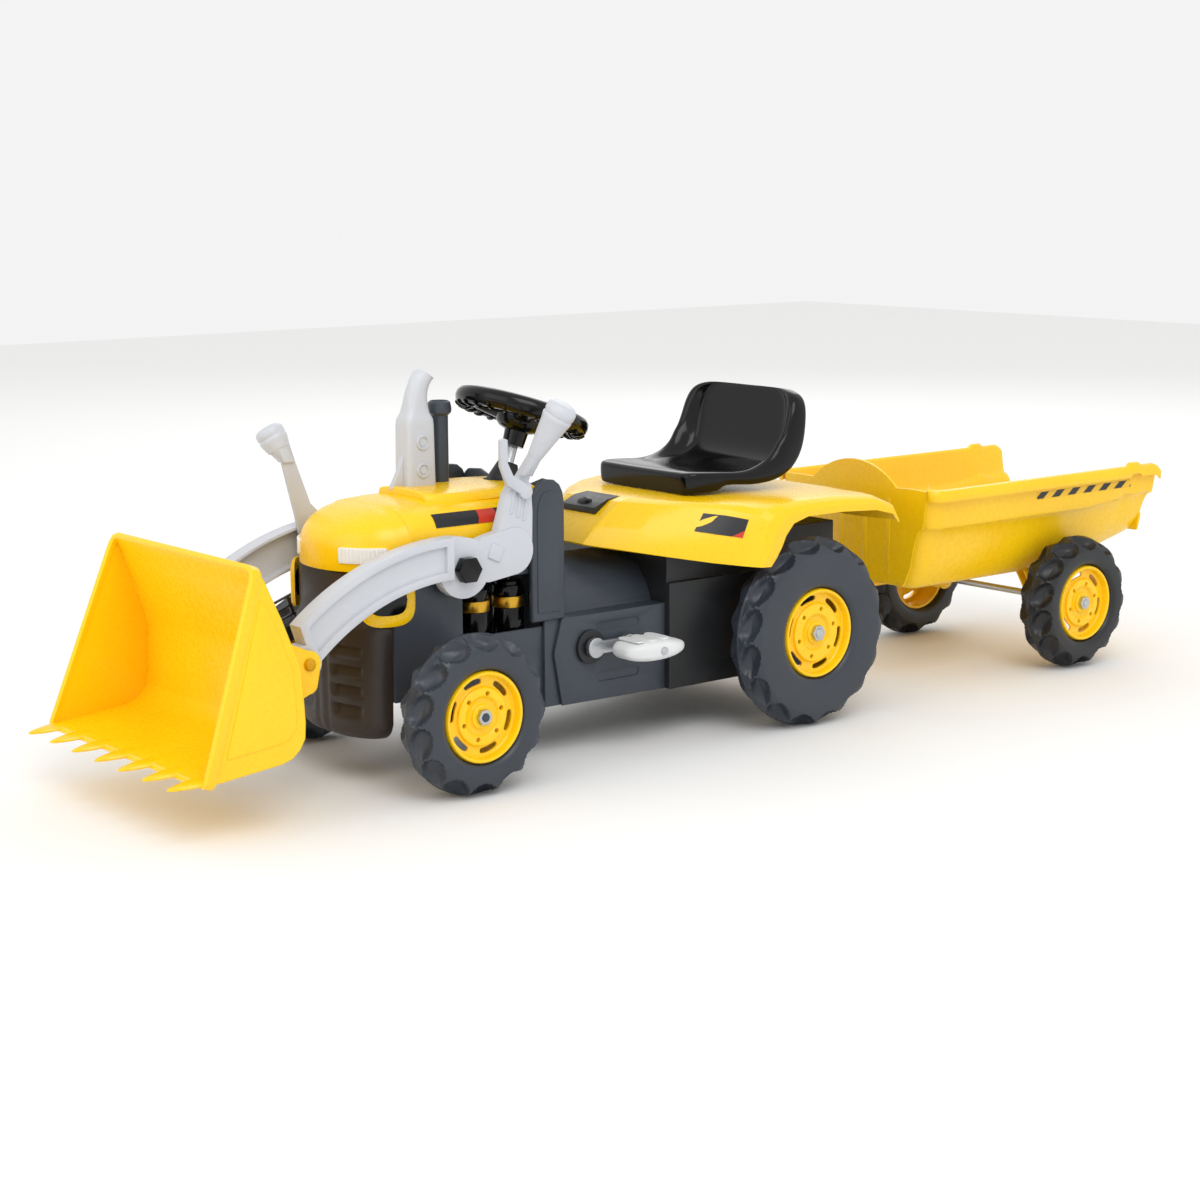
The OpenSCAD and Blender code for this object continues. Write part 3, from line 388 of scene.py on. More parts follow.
@dataclass(frozen=True)
class MouldedPlastic:
    """A blow-moulded or injection-moulded plastic.

    The skin takes a fine grain from the mould's wall and long shallow waves
    where the wall cooled unevenly; handling leaves faint scuffs in its gloss.
    """

    name: str
    colour: str
    shade: str
    roughness: float
    grain_mm: float = 1.1
    grain_depth: float = 0.02
    wave_mm: float = 45.0
    wave_depth: float = 0.25
    scuff: float = 0.08
    ior: float = 1.5
    coat: float = 0.0
    subsurface: float = 0.0

    def build(self) -> bpy.types.Material:
        """Returns the finish as a material."""
        material, tree = blank(self.name)
        place = add(tree, "ShaderNodeTexCoord")
        cloud = add(tree, "ShaderNodeTexNoise", {"Scale": 1000 / (self.wave_mm * 2.2),
            "Detail": 3.0}, [(place, "Object", "Vector")])
        tint = add(tree, "ShaderNodeMix", {"data_type": "RGBA"})
        tint.inputs[6].default_value = linear(self.colour)
        tint.inputs[7].default_value = linear(self.shade)
        fade = add(tree, "ShaderNodeMapRange", {"From Min": 0.35, "From Max": 0.7, "To Min": 0.0,
            "To Max": 0.6}, [(cloud, "Fac", "Value")])
        tree.links.new(fade.outputs["Result"], tint.inputs[0])
        scratches = add(tree, "ShaderNodeTexNoise", {"Scale": 1000 / 9.0, "Detail": 6.0,
            "Roughness": 0.7}, [(place, "Object", "Vector")])
        gloss = add(tree, "ShaderNodeMapRange",
                    {"From Min": 0.3, "From Max": 0.75, "To Min": self.roughness - self.scuff / 2,
                     "To Max": self.roughness + self.scuff}, [(scratches, "Fac", "Value")])
        grain = add(tree, "ShaderNodeTexNoise",
                    {"Scale": 1000 / self.grain_mm, "Detail": 2.0}, [(place, "Object", "Vector")])
        wave = add(tree, "ShaderNodeTexNoise",
                   {"Scale": 1000 / self.wave_mm, "Detail": 1.0}, [(place, "Object", "Vector")])
        swell = add(tree, "ShaderNodeBump", {"Strength": 1.0, "Distance": self.wave_depth * MM},
                    [(wave, "Fac", "Height")])
        skin = add(tree, "ShaderNodeBump", {"Strength": 1.0, "Distance": self.grain_depth * MM},
                   [(grain, "Fac", "Height"), (swell, "Normal", "Normal")])
        shader = add(tree, "ShaderNodeBsdfPrincipled", {"IOR": self.ior, "Coat Weight": self.coat,
            "Coat Roughness": 0.08, "Subsurface Weight": self.subsurface,
            "Subsurface Scale": 0.004}, [(tint, 2, "Base Color"), (gloss, "Result", "Roughness"),
            (skin, "Normal", "Normal")])
        add(tree, "ShaderNodeOutputMaterial", None, [(shader, "BSDF", "Surface")])
        return material


@dataclass(frozen=True)
class PlatedMetal:
    """Steel or brass with a thin plated or lacquered skin, brushed along one way."""

    name: str
    colour: str
    roughness: float
    brush_mm: float = 0.6

    def build(self) -> bpy.types.Material:
        """Returns the finish as a material."""
        material, tree = blank(self.name)
        place = add(tree, "ShaderNodeTexCoord")
        stretch = add(tree, "ShaderNodeMapping", {"Scale": (0.12, 1.0, 0.12)},
            [(place, "Object", "Vector")])
        brush = add(tree, "ShaderNodeTexNoise",
                    {"Scale": 1000 / self.brush_mm, "Detail": 3.0}, [(stretch, "Vector", "Vector")])
        gloss = add(tree, "ShaderNodeMapRange", {"To Min": self.roughness - 0.06,
            "To Max": self.roughness + 0.14}, [(brush, "Fac", "Value")])
        lines = add(tree, "ShaderNodeBump", {"Distance": 0.00002}, [(brush, "Fac", "Height")])
        shader = add(tree, "ShaderNodeBsdfPrincipled",
                     {"Base Color": linear(self.colour), "Metallic": 1.0},
                     [(gloss, "Result", "Roughness"), (lines, "Normal", "Normal")])
        add(tree, "ShaderNodeOutputMaterial", None, [(shader, "BSDF", "Surface")])
        return material


@dataclass(frozen=True)
class PrintedVinyl:
    """A printed vinyl sticker with slanted bands under a clear gloss layer."""

    name: str
    ground: str
    band: str
    pitch_mm: float
    share: float

    def build(self) -> bpy.types.Material:
        """Returns the finish as a material."""
        material, tree = blank(self.name)
        place = add(tree, "ShaderNodeTexCoord")
        wave = add(tree, "ShaderNodeTexWave", {"wave_type": "BANDS", "bands_direction": "DIAGONAL",
            "Scale": 1000 / (self.pitch_mm * 6.3)}, [(place, "Object", "Vector")])
        steps = add(tree, "ShaderNodeValToRGB", None, [(wave, "Fac", "Fac")])
        steps.color_ramp.interpolation = "CONSTANT"
        steps.color_ramp.elements[0].color = linear(self.ground)
        steps.color_ramp.elements[1].position = self.share
        steps.color_ramp.elements[1].color = linear(self.band)
        shader = add(tree, "ShaderNodeBsdfPrincipled", {"Roughness": 0.3},
            [(steps, "Color", "Base Color")])
        add(tree, "ShaderNodeOutputMaterial", None, [(shader, "BSDF", "Surface")])
        return material


class Finish(Enum):
    """The finishes of the tractor's parts."""

    # Yellow HDPE, blow moulded: bright, with a wide soft gloss.
    YELLOW = MouldedPlastic("yellow_hdpe", "#ffce08", "#fdc600", 0.27, grain_depth=0.006,
        wave_depth=0.16, scuff=0.04, subsurface=0.05)
    # Slate blue-grey HDPE, blow moulded: a duller, finely grained skin.
    SLATE = MouldedPlastic("slate_hdpe", "#3b424c", "#323840", 0.4, grain_depth=0.05)
    # Near-black polypropylene under the seat: dull, slightly warm.
    BOX = MouldedPlastic("charcoal_polypropylene", "#1f2124", "#17191b", 0.44, grain_depth=0.05)
    # Black gloss ABS: deep, with clear reflections.
    GLOSS = MouldedPlastic("black_gloss_abs", "#050608", "#040405", 0.14, wave_depth=0.15,
        scuff=0.04, ior=1.38)
    # Pale silver-grey polypropylene: an even satin.
    SILVER = MouldedPlastic("silver_grey_polypropylene", "#c8cbd1", "#bdc0c8", 0.34,
        grain_depth=0.008, wave_depth=0.15, scuff=0.05)
    # Brown-black polypropylene of the grille and link: dull and warm.
    GRILLE = MouldedPlastic("umber_polypropylene", "#2d2420", "#241c19", 0.44)
    # Slate polyethylene of the tractor's hollow tyres: waxy, with a soft sheen.
    TYRE = MouldedPlastic("slate_polyethylene_tyre", "#343a43", "#2a2f37", 0.36, wave_mm=60.0,
        wave_depth=0.5)
    # Near-black polyethylene of the trailer's hollow tyres.
    TYRE_BLACK = MouldedPlastic("black_polyethylene_tyre", "#1d1f23", "#15171a", 0.36, wave_mm=60.0,
        wave_depth=0.5)
    # White polypropylene lamp lens.
    LENS = MouldedPlastic("white_polypropylene", "#f1f2f2", "#e4e6e8", 0.2, subsurface=0.1)
    # Off-white pedals, satin and lightly marked by shoes.
    PEDAL = MouldedPlastic("offwhite_polypropylene", "#dfe1e2", "#cfd1d2", 0.36, scuff=0.14)
    # Soft black thermoplastic boot.
    BOOT = MouldedPlastic("black_soft_pvc", "#1d1f22", "#17181a", 0.55, grain_depth=0.06)
    # Printed vinyl in black with yellow hatching: flat and even.
    HATCH = PrintedVinyl("hatched_vinyl", "#15161a", "#f3c100", 9.0, 0.5)
    # Printed vinyl in black with thin red flashes.
    PATCH = PrintedVinyl("patch_vinyl", "#15161a", "#c8321c", 26.0, 0.84)
    # Zinc-plated steel rod and fixings: cool and softly brushed.
    STEEL = PlatedMetal("zinc_plated_steel", "#c3c6c9", 0.32)
    # Gold-lacquered bands.
    GOLD = PlatedMetal("gold_lacquer", "#d9a93a", 0.3)


MADE: dict[Finish, bpy.types.Material] = {}


def finish_of(choice: Finish) -> bpy.types.Material:
    """Returns the material of a finish, built once."""
    if choice not in MADE:
        MADE[choice] = choice.value.build()
    return MADE[choice]


# ---------------------------------------------------------------- studio


@dataclass
class Studio:
    """The pale floor, the soft lights and the camera."""

    eye: Point = (2125.0, 2375.0, 737.0)
    yaw: float = 51.14
    dip: float = 10.55
    roll: float = -0.31
    lens: float = 69.75
    floor: float = 14.0

    def build(self) -> None:
        """Builds the floor, the world, the lights and the camera."""
        ground = start(bpy.ops.mesh.primitive_plane_add, "floor", size=self.floor)
        dress(ground, self.ground_paint())
        self.sky()
        self.lamp("key", (1.3, 3.0, 3.6), 2.6, 62)
        self.lamp("fill", (3.6, 0.2, 2.0), 2.8, 22)
        self.lamp("back", (-2.6, -2.6, 2.8), 2.6, 30)
        self.camera()

    def ground_paint(self) -> bpy.types.Material:
        """Returns matt pale paint for the floor."""
        material, tree = blank("pale_floor")
        shader = add(tree, "ShaderNodeBsdfPrincipled",
                     {"Base Color": linear("#f4f4f3"), "Roughness": 0.9, "Specular IOR Level": 0.1})
        add(tree, "ShaderNodeOutputMaterial", None, [(shader, "BSDF", "Surface")])
        return material

    def sky(self) -> None:
        """Sets an even, nearly white surround."""
        world = bpy.data.worlds.new("surround")
        bpy.context.scene.world = world
        world.use_nodes = True
        world.node_tree.nodes.clear()
        glow = add(world.node_tree, "ShaderNodeBackground", {"Color": linear("#ffffff"),
            "Strength": 0.9})
        add(world.node_tree, "ShaderNodeOutputWorld", None, [(glow, "Background", "Surface")])

    def lamp(self, name: str, place: Point, size: float, power: float) -> None:
        """Adds a square soft lamp aimed at the tractor.

        Args:
            name: the lamp's name.
            place: where it stands, in metres.
            size: its side in metres.
            power: its power in watts.
        """
        clear_selection()
        bpy.ops.object.light_add(type="AREA", location=place)
        lamp = bpy.context.active_object
        lamp.name = name
        lamp.data.size = size
        lamp.data.energy = power
        lamp.rotation_euler = (Vector((0, 0, 0.2)) - Vector(place)).to_track_quat("-Z",
            "Y").to_euler()

    def camera(self) -> None:
        """Adds the camera and makes it the scene's."""
        yaw, dip = math.radians(self.yaw), math.radians(self.dip)
        clear_selection()
        bpy.ops.object.camera_add(location=at(*self.eye))
        camera = bpy.context.active_object
        look = Vector((-math.cos(dip) * math.cos(yaw), -math.cos(dip) * math.sin(yaw),
            -math.sin(dip)))
        right = look.cross(Vector((0, 0, 1))).normalized()
        up = right.cross(look)
        turn = Matrix((right, up, -look)).transposed().to_4x4()
        camera.matrix_world = Matrix.Translation(at(*self.eye)) @ turn @ Matrix.Rotation(
            math.radians(self.roll), 4, "Z")
        camera.data.lens = self.lens
        camera.data.sensor_width = 36.0
        bpy.context.scene.camera = camera
        bpy.context.scene.view_settings.view_transform = "Standard"


# ---------------------------------------------------------------- wheels


def spaced(corners: Sequence[Pair], count: int) -> list[Pair]:
    """Spreads points evenly along a line through corners.

    Args:
        corners: the line's corners.
        count: how many points it gets.

    Returns:
        The points, first and last corner included.
    """
    lengths = [math.dist(a, b) for a, b in zip(corners, corners[1:])]
    step, points, leg, gone = sum(lengths) / (count - 1), [], 0, 0.0
    for k in range(count):
        reach = min(k * step, sum(lengths) - 1e-9)
        while reach > gone + lengths[leg]:
            gone += lengths[leg]
            leg += 1
        share = (reach - gone) / lengths[leg]
        a, b = corners[leg], corners[leg + 1]
        points.append((a[0] + (b[0] - a[0]) * share, a[1] + (b[1] - a[1]) * share))
    return points


@dataclass
class RoadWheel:
    """A pair of hollow tyres with scooped lugs, which replace the plain CAD tyres."""

    name: str
    bodies: tuple[str, str]
    x: float
    y: float
    z: float
    radius: float
    width: float
    rim: float
    lugs: int
    skin: Finish
    scoop: float = 13.5
    tread_points: int = 46
    steps_per_lug: int = 14

    def build(self) -> None:
        """Builds the left tyre, mirrors it and puts both on their bodies."""
        left = self.tyre()
        right = twin(left, f"{self.name}_tyre_skin_right")
        for piece, body, side in ((left, self.bodies[0], "left"), (right, self.bodies[1], "right")):
            dress(piece, finish_of(self.skin))
            shaded(piece, 40)
            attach(piece, body)
            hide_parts(f"{self.name}_tyre_{side}")

    def profile(self) -> list[Pair]:
        """Returns the tyre's closed section as radius and distance from its middle."""
        half, r = self.width / 2, self.radius
        shoulder = [(r - 25, half), (r - 19, half), (r - 13, half - 1.6), (r - 8, half - 5),
                    (r - 4.5, half - 10.5), (r - 2.2, half - 17), (r - 1.0, 2.2), (r - 0.1, 1.3)]
        shoulder += [(radius, -along) for radius, along in reversed(shoulder)]
        face = [(self.rim + 0.6, half - 8), (self.rim + 3, half - 3.4), (self.rim + 7, half - 0.7),
                (self.rim + 10, half)]
        tread = spaced(shoulder, self.tread_points)
        back = [(radius, -along) for radius, along in reversed(face)]
        inside = [(self.rim + 0.6, 0.0)]
        return face + tread + back + inside + [face[0]]

    def tyre(self) -> Piece:
        """Returns the left tyre: a spun section with a spoon-shaped scoop beside each lug."""
        piece = lathe(f"{self.name}_tyre_skin_left", self.profile(), (self.x, self.y, self.z),
                      self.lugs * self.steps_per_lug)
        edit(piece, "VERT")
        shaped_by(self.scooped)
        close_up(piece)
        return piece

    def scooped(self, corner: Vector) -> Vector:
        """Returns where a corner of the spun tyre goes once the scoops are pressed in."""
        dx, dz = corner.x - self.x, corner.z - self.z
        along, radial = corner.y - self.y, math.hypot(dx, dz)
        core = self.radius - self.width * 0.46
        if radial < core + 2:
            return corner
        roll = math.degrees(math.atan2(abs(along), radial - core))
        side = 1 if along > 0 else -1
        pitch = math.tau / self.lugs
        lean = 0.16 * (roll - 40) / 40
        turn = math.atan2(dz, dx) / pitch + (0.0 if side > 0 else 0.5) - lean
        offset = (turn % 1.0) - 0.5
        wide = 0.43 if roll > 36 else 0.43 * (0.72 + 0.28 * roll / 36)
        d = 1 - (offset / wide) ** 2 - ((roll - 42) / (38 if roll < 42 else 30)) ** 2
        if d <= 0:
            return corner
        depth = self.scoop * d ** 0.32 * (0.55 + 0.45 * min(1.0, roll / 48))
        angle = math.radians(max(8.0, min(62.0, roll)))
        inward, across = depth * math.cos(angle), depth * math.sin(angle) * side
        share = (radial - inward) / radial
        return Vector((self.x + dx * share, corner.y - across, self.z + dz * share))


WHEELS = (RoadWheel("front", ("front_wheel_left", "front_wheel_right"), 552, 181, 98, 98, 58, 56,
    14, Finish.TYRE), RoadWheel("rear", ("rear_wheels", "rear_wheels"), 0, 178, 127, 127, 54, 60,
    16, Finish.TYRE, scoop=15.0), RoadWheel("trailer", ("trailer_wheel_left",
    "trailer_wheel_right"), -558.9, 165, 98, 98, 58, 56, 14, Finish.TYRE_BLACK),)


# ---------------------------------------------------------------- body


def between(table: Sequence[Pair], where: float) -> float:
    """Reads a value off a table of places and values, straight between them.

    Args:
        table: places and values, in order of place.
        where: the place to read at.

    Returns:
        The value there, or the nearest end's.
    """
    if where <= table[0][0]:
        return table[0][1]
    for (x0, v0), (x1, v1) in zip(table, table[1:]):
        if where <= x1:
            return v0 + (v1 - v0) * (where - x0) / (x1 - x0)
    return table[-1][1]


def fitted(
    piece: Piece, body: str, choice: Finish, *nodes: str, angle: float = 34
) -> Piece:
    """Shades and dresses a finished piece and puts it on its body.

    Args:
        piece: the finished piece.
        body: the CAD body it rides on.
        choice: its finish.
        nodes: the CAD nodes it stands for.
        angle: edges sharper than this many degrees stay sharp.

    Returns:
        The piece.
    """
    shaded(piece, angle)
    dress(piece, finish_of(choice))
    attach(piece, body)
    if nodes:
        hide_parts(*nodes)
    log.info("  %s", piece.name)
    return piece


def slab(name: str, outline: Sequence[Pair], y0: float, y1: float) -> Piece:
    """Returns a plate with an outline in x and z, between two distances along y."""
    return loft(name, [[(x, y, z) for x, z in outline] for y in (y0, y1)])


def joined(pieces: Sequence[Piece], name: str) -> Piece:
    """Joins pieces into one under a name."""
    clear_selection()
    for piece in pieces:
        piece.select_set(True)
    bpy.context.view_layer.objects.active = pieces[0]
    bpy.ops.object.join()
    whole = bpy.context.active_object
    whole.name = whole.data.name = name
    return whole


def both(piece: Piece, name: str) -> Piece:
    """Joins a piece on the left with its mirror image under a name."""
    return joined([piece, twin(piece, name)], name)


def outward(piece: Piece) -> None:
    """Turns an open shell's faces away from the middle of its box."""
    faces = piece.data.polygons
    corners = [corner.co for corner in piece.data.vertices]
    spans = [(min(c[k] for c in corners), max(c[k] for c in corners)) for k in range(3)]
    middle = Vector([(low + high) / 2 for low, high in spans])
    if sum(face.area * face.normal.dot(face.center - middle) for face in faces) < 0:
        edit(piece)
        bpy.ops.mesh.select_all(action="SELECT")
        bpy.ops.mesh.flip_normals()
        bpy.ops.object.mode_set(mode="OBJECT")


def walled(piece: Piece, wall: float) -> None:
    """Gives an open shell a wall inwards, in millimetres."""
    outward(piece)
    modify(piece, "SOLIDIFY", thickness=wall * MM, offset=-1.0, use_even_offset=True)


def oval(count: int, power: float, start: float = 0.0, span: float = math.tau) -> list[Pair]:
    """Returns points round a unit squared circle.

    Args:
        count: how many points.
        power: 2 is round, and more is squarer.
        start: the first point's angle.
        span: the angle they cover.

    Returns:
        Pairs within -1 to 1.
    """
    points = []
    for k in range(count):
        angle = start + span * k / (count if span == math.tau else count - 1)
        c, s = math.cos(angle), math.sin(angle)
        points.append((math.copysign(abs(c) ** (2 / power), c), math.copysign(abs(s) ** (2 / power),
            s)))
    return points


@dataclass
class Hood:
    """The bonnet, its raised crest, the ribbed lamp strips and the lamp surrounds."""

    back: float = 358.0
    nose: float = 655.6
    turn_in: float = 562.0
    half: float = 98.0
    bow: float = 2.15
    shoulder: float = 0.606
    skirt_from: float = 578.0
    edge_levels: Pair = (278.5, 262.5)
    ribs: int = 13
    strip_run: Pair = (46.0, 62.0)
    ring_run: Pair = (12.0, 36.0)
    ring_level: Pair = (229.5, 31.5)
    crown: tuple[Pair, ...] = ((358, 340), (404, 338), (475, 338), (543, 338.5), (577, 336),
        (600, 332), (613, 328), (626, 322.5), (638, 315.5), (646, 309), (651, 303.5), (654, 298),
        (655.8, 291))

    def half_at(self, x: float) -> float:
        """Returns half the bonnet's width at a distance forwards."""
        past = max(0.0, (x - self.turn_in) / (self.nose - self.turn_in))
        return self.half * max(0.0, 1 - past**self.bow) ** (1 / self.bow)

    def edge(self, run: float) -> tuple[float, float, float, float]:
        """Returns a point on the bonnet's plan and its outward direction.

        Args:
            run: distance along the edge, forwards from where it turns in.

        Returns:
            x, y and the direction's x and y, on the left side.
        """
        if run <= 0:
            return (self.turn_in + run, self.half, 0.0, 1.0)
        x, y, gone = self.turn_in, self.half, 0.0
        for k in range(1, 561):
            nx = self.turn_in + (self.nose - self.turn_in) * math.sin(math.pi / 2 * k / 560)
            ny = self.half_at(nx)
            leg = math.hypot(nx - x, ny - y)
            if gone + leg >= run:
                return (nx, ny, (y - ny) / leg, (nx - x) / leg)
            x, y, gone = nx, ny, gone + leg
        return (self.nose, 0.0, 1.0, 0.0)

    def build(self) -> None:
        """Builds the bonnet's pieces."""
        self.shell()
        self.crest()
        for left, name, choice, nodes in (
            (self.strip(), "lamp_strips", Finish.LENS, ("headlight_lenses",)),
            (self.surround(), "lamp_rings", Finish.YELLOW, ("lamp_surrounds",)),
            (self.pocket(), "lamp_pockets", Finish.GLOSS, ()),
            (self.marker(), "marker_lamps", Finish.SLATE, ()),
        ):
            fitted(both(left, name), "chassis", choice, *nodes)

    def shell(self) -> None:
        """Builds the bonnet as one arched skin that closes to a bow at the nose."""
        stations = [self.back, 370, 404, 440, 475, 510, 543, 560, 577.5, 578.5, 590, 600, 608, 616,
            624, 631, 637, 642, 646, 649.5, 652.2, 654.2, 655.1, 655.6]
        sections = [[self.skin(x, 180 * k / 32, 0.0) for k in range(33)] for x in stations]
        piece = loft("bonnet_shell", sections, closed=False)
        walled(piece, 3.0)
        rounded(piece, 0.8, 2, 60)
        fitted(piece, "chassis", Finish.YELLOW, "hood", angle=40)

    def skin(self, x: float, turn: float, out: float = 0.5) -> Point:
        """Returns a point off the bonnet's skin.

        Args:
            x: distance forwards.
            turn: degrees up from the left edge.
            out: how far off the skin.

        Returns:
            The point.
        """
        low = self.edge_levels[0] if x < self.skirt_from else self.edge_levels[1]
        high = between(self.crown, x)
        c, s = math.cos(math.radians(turn)), math.sin(math.radians(turn))
        wide, tall = math.copysign(abs(c) ** self.shoulder, c), abs(s) ** self.shoulder
        return (x, (self.half_at(x) + out) * wide, low + (high + out - low) * tall)

    def crest(self) -> None:
        """Builds the raised panel behind the nose."""
        stations = [(362, 60, 345), (404, 63, 346.5), (440, 62, 346), (475, 60, 345.5),
            (505, 55, 346.2), (526, 50, 347)]
        sections = []
        for x, half, high in stations:
            across = [half * share for share in (1.0, 0.9, 0.66, 0.33, 0, -0.33, -0.66, -0.9, -1.0)]
            top = [(y, high + 0.8 - 4.0 * (y / half) ** 4) for y in across]
            sections.append([(x, half + 4, high - 13), *[(x, y, z) for y, z in top],
                (x, -half - 4, high - 13)])
        piece = loft("bonnet_crest", sections)
        rounded(piece, 2.2, 3, 25)
        fitted(piece, "chassis", Finish.YELLOW)

    def strip(self) -> Piece:
        """Returns the left ribbed lamp strip, which follows the nose."""
        sections = []
        for k in range(2 * self.ribs + 1):
            proud = 2.4 if k % 2 else 1.2
            x, y, nx, ny = self.edge(self.strip_run[0] + self.strip_run[1] * k / (2 * self.ribs))
            ends = 0.0 if 0 < k < 2 * self.ribs else 2.0
            sections.append([(x + nx * out, y + ny * out, z) for out, z in (
                (-2, 273 + ends), (proud - ends * 0.4, 273 + ends), (proud, 276), (proud, 289),
                (proud - ends * 0.4, 292 - ends), (-2, 292 - ends))])
        piece = loft("lamp_strip_left", sections)
        rounded(piece, 0.4, 2, 40)
        return piece

    def marker(self) -> Piece:
        """Returns the left round marker lamp behind the strip."""
        profile = [(0.01, 5.2), (3.2, 4.6), (4.4, 3.6), (4.9, 3.9), (7.2, 3.2), (8.0, 1.2),
            (8.0, -2.0), (0.01, -2.0)]
        return lathe("marker_lamp_left", profile, (574, 97.4, 287), 32)

    def surround(self) -> Piece:
        """Returns the left D-shaped ring under the bonnet's nose."""
        sections, wide = [], Hood(turn_in=600.0, bow=2.3)
        for k in range(49):
            angle = math.tau * k / 48
            c, s = math.cos(angle), math.sin(angle)
            c, s = math.copysign(abs(c) ** 0.62, c), math.copysign(abs(s) ** 0.62, s)
            ring = []
            for share, out in ((1.0, -2.0), (1.0, 1.6), (0.93, 3.2), (0.72, 3.2), (0.62, 1.2),
                (0.62, -2.0)):
                run = self.ring_run[0] + self.ring_run[1] * c * (1 - (1 - share) * 0.86)
                z = self.ring_level[0] + self.ring_level[1] * s * (1 - (1 - share) * 1.15)
                x, y, nx, ny = wide.edge(run)
                ring.append((x + nx * out, y + ny * out, z))
            sections.append(ring)
        return loft("lamp_ring_left", sections, caps=False)

    def pocket(self) -> Piece:
        """Returns the dark glass inside the left ring."""
        sections, wide = [], Hood(turn_in=600.0, bow=2.3)
        for k in range(17):
            share = -1 + 2 * k / 16
            tall = self.ring_level[1] * 0.6 * (1 - abs(share) ** 3.4) ** (1 / 3.4) + 0.4
            x, y, nx, ny = wide.edge(self.ring_run[0] + self.ring_run[1] * 0.68 * share)
            sections.append([(x + nx * out, y + ny * out, self.ring_level[0] + tall * up) for out,
                up in ((-2, -1), (0.6, -1), (1.4, -0.6), (1.8, 0), (1.4, 0.6), (0.6, 1), (-2, 1))])
        return loft("lamp_pocket_left", sections)


@dataclass
class Grille:
    """The bullet-shaped radiator nose with its louvres."""

    back: float = 606.5
    nose: float = 649.5
    half: float = 95.0
    rows: tuple[float, ...] = (92.0, 116.0, 140.0, 164.0)
    levels: tuple[Pair, ...] = ((57.5, 0.80), (61, 0.87), (67, 0.93), (76, 0.97), (190, 1.0),
        (197, 0.985), (204, 0.94), (260, 0.93))

    def build(self) -> None:
        """Builds the nose from level outlines and presses the louvres in."""
        heights = [57.5, 59, 62, 66, 71, 77, 83] + [86 + 2 * k for k in range(46)] + [184, 190, 195,
            199, 204, 225, 260]
        sections = []
        for z in heights:
            scale = between(self.levels, z)
            ring = []
            for k in range(65):
                angle = -math.pi / 2 + math.pi * k / 64
                bow, side = math.cos(angle), math.sin(angle)
                x = self.back + (self.nose - self.back) * scale * max(0.0, bow) ** 0.8
                y = self.half * scale * math.copysign(abs(side) ** 0.95, side)
                press = self.pressed(math.degrees(angle), z)
                ring.append((x - press * bow, y - press * side * 0.6, z))
            ring += [(self.back - 4, self.half * scale * 0.9, z), (self.back - 4,
                -self.half * scale * 0.9, z)]
            sections.append(ring)
        piece = loft("radiator_nose", sections)
        fitted(piece, "chassis", Finish.GRILLE, "front_grille", angle=50)

    def pressed(self, turn: float, z: float) -> float:
        """Returns how deep the louvres and the centre groove press the skin.

        Args:
            turn: the direction round the nose, in degrees from straight ahead.
            z: the height.

        Returns:
            The depth in millimetres.
        """
        around = abs(turn)
        if 4.5 < around < 7.5 and z < 190:
            return 1.6
        if 13 < around < 50:
            for row in self.rows:
                if abs(z - row) < 6.5:
                    ends = min(1.0, (around - 13) / 3, (50 - around) / 3)
                    return 7.0 * ends * (0.35 + 0.65 * (z - row + 6.5) / 13)
        return 0.0


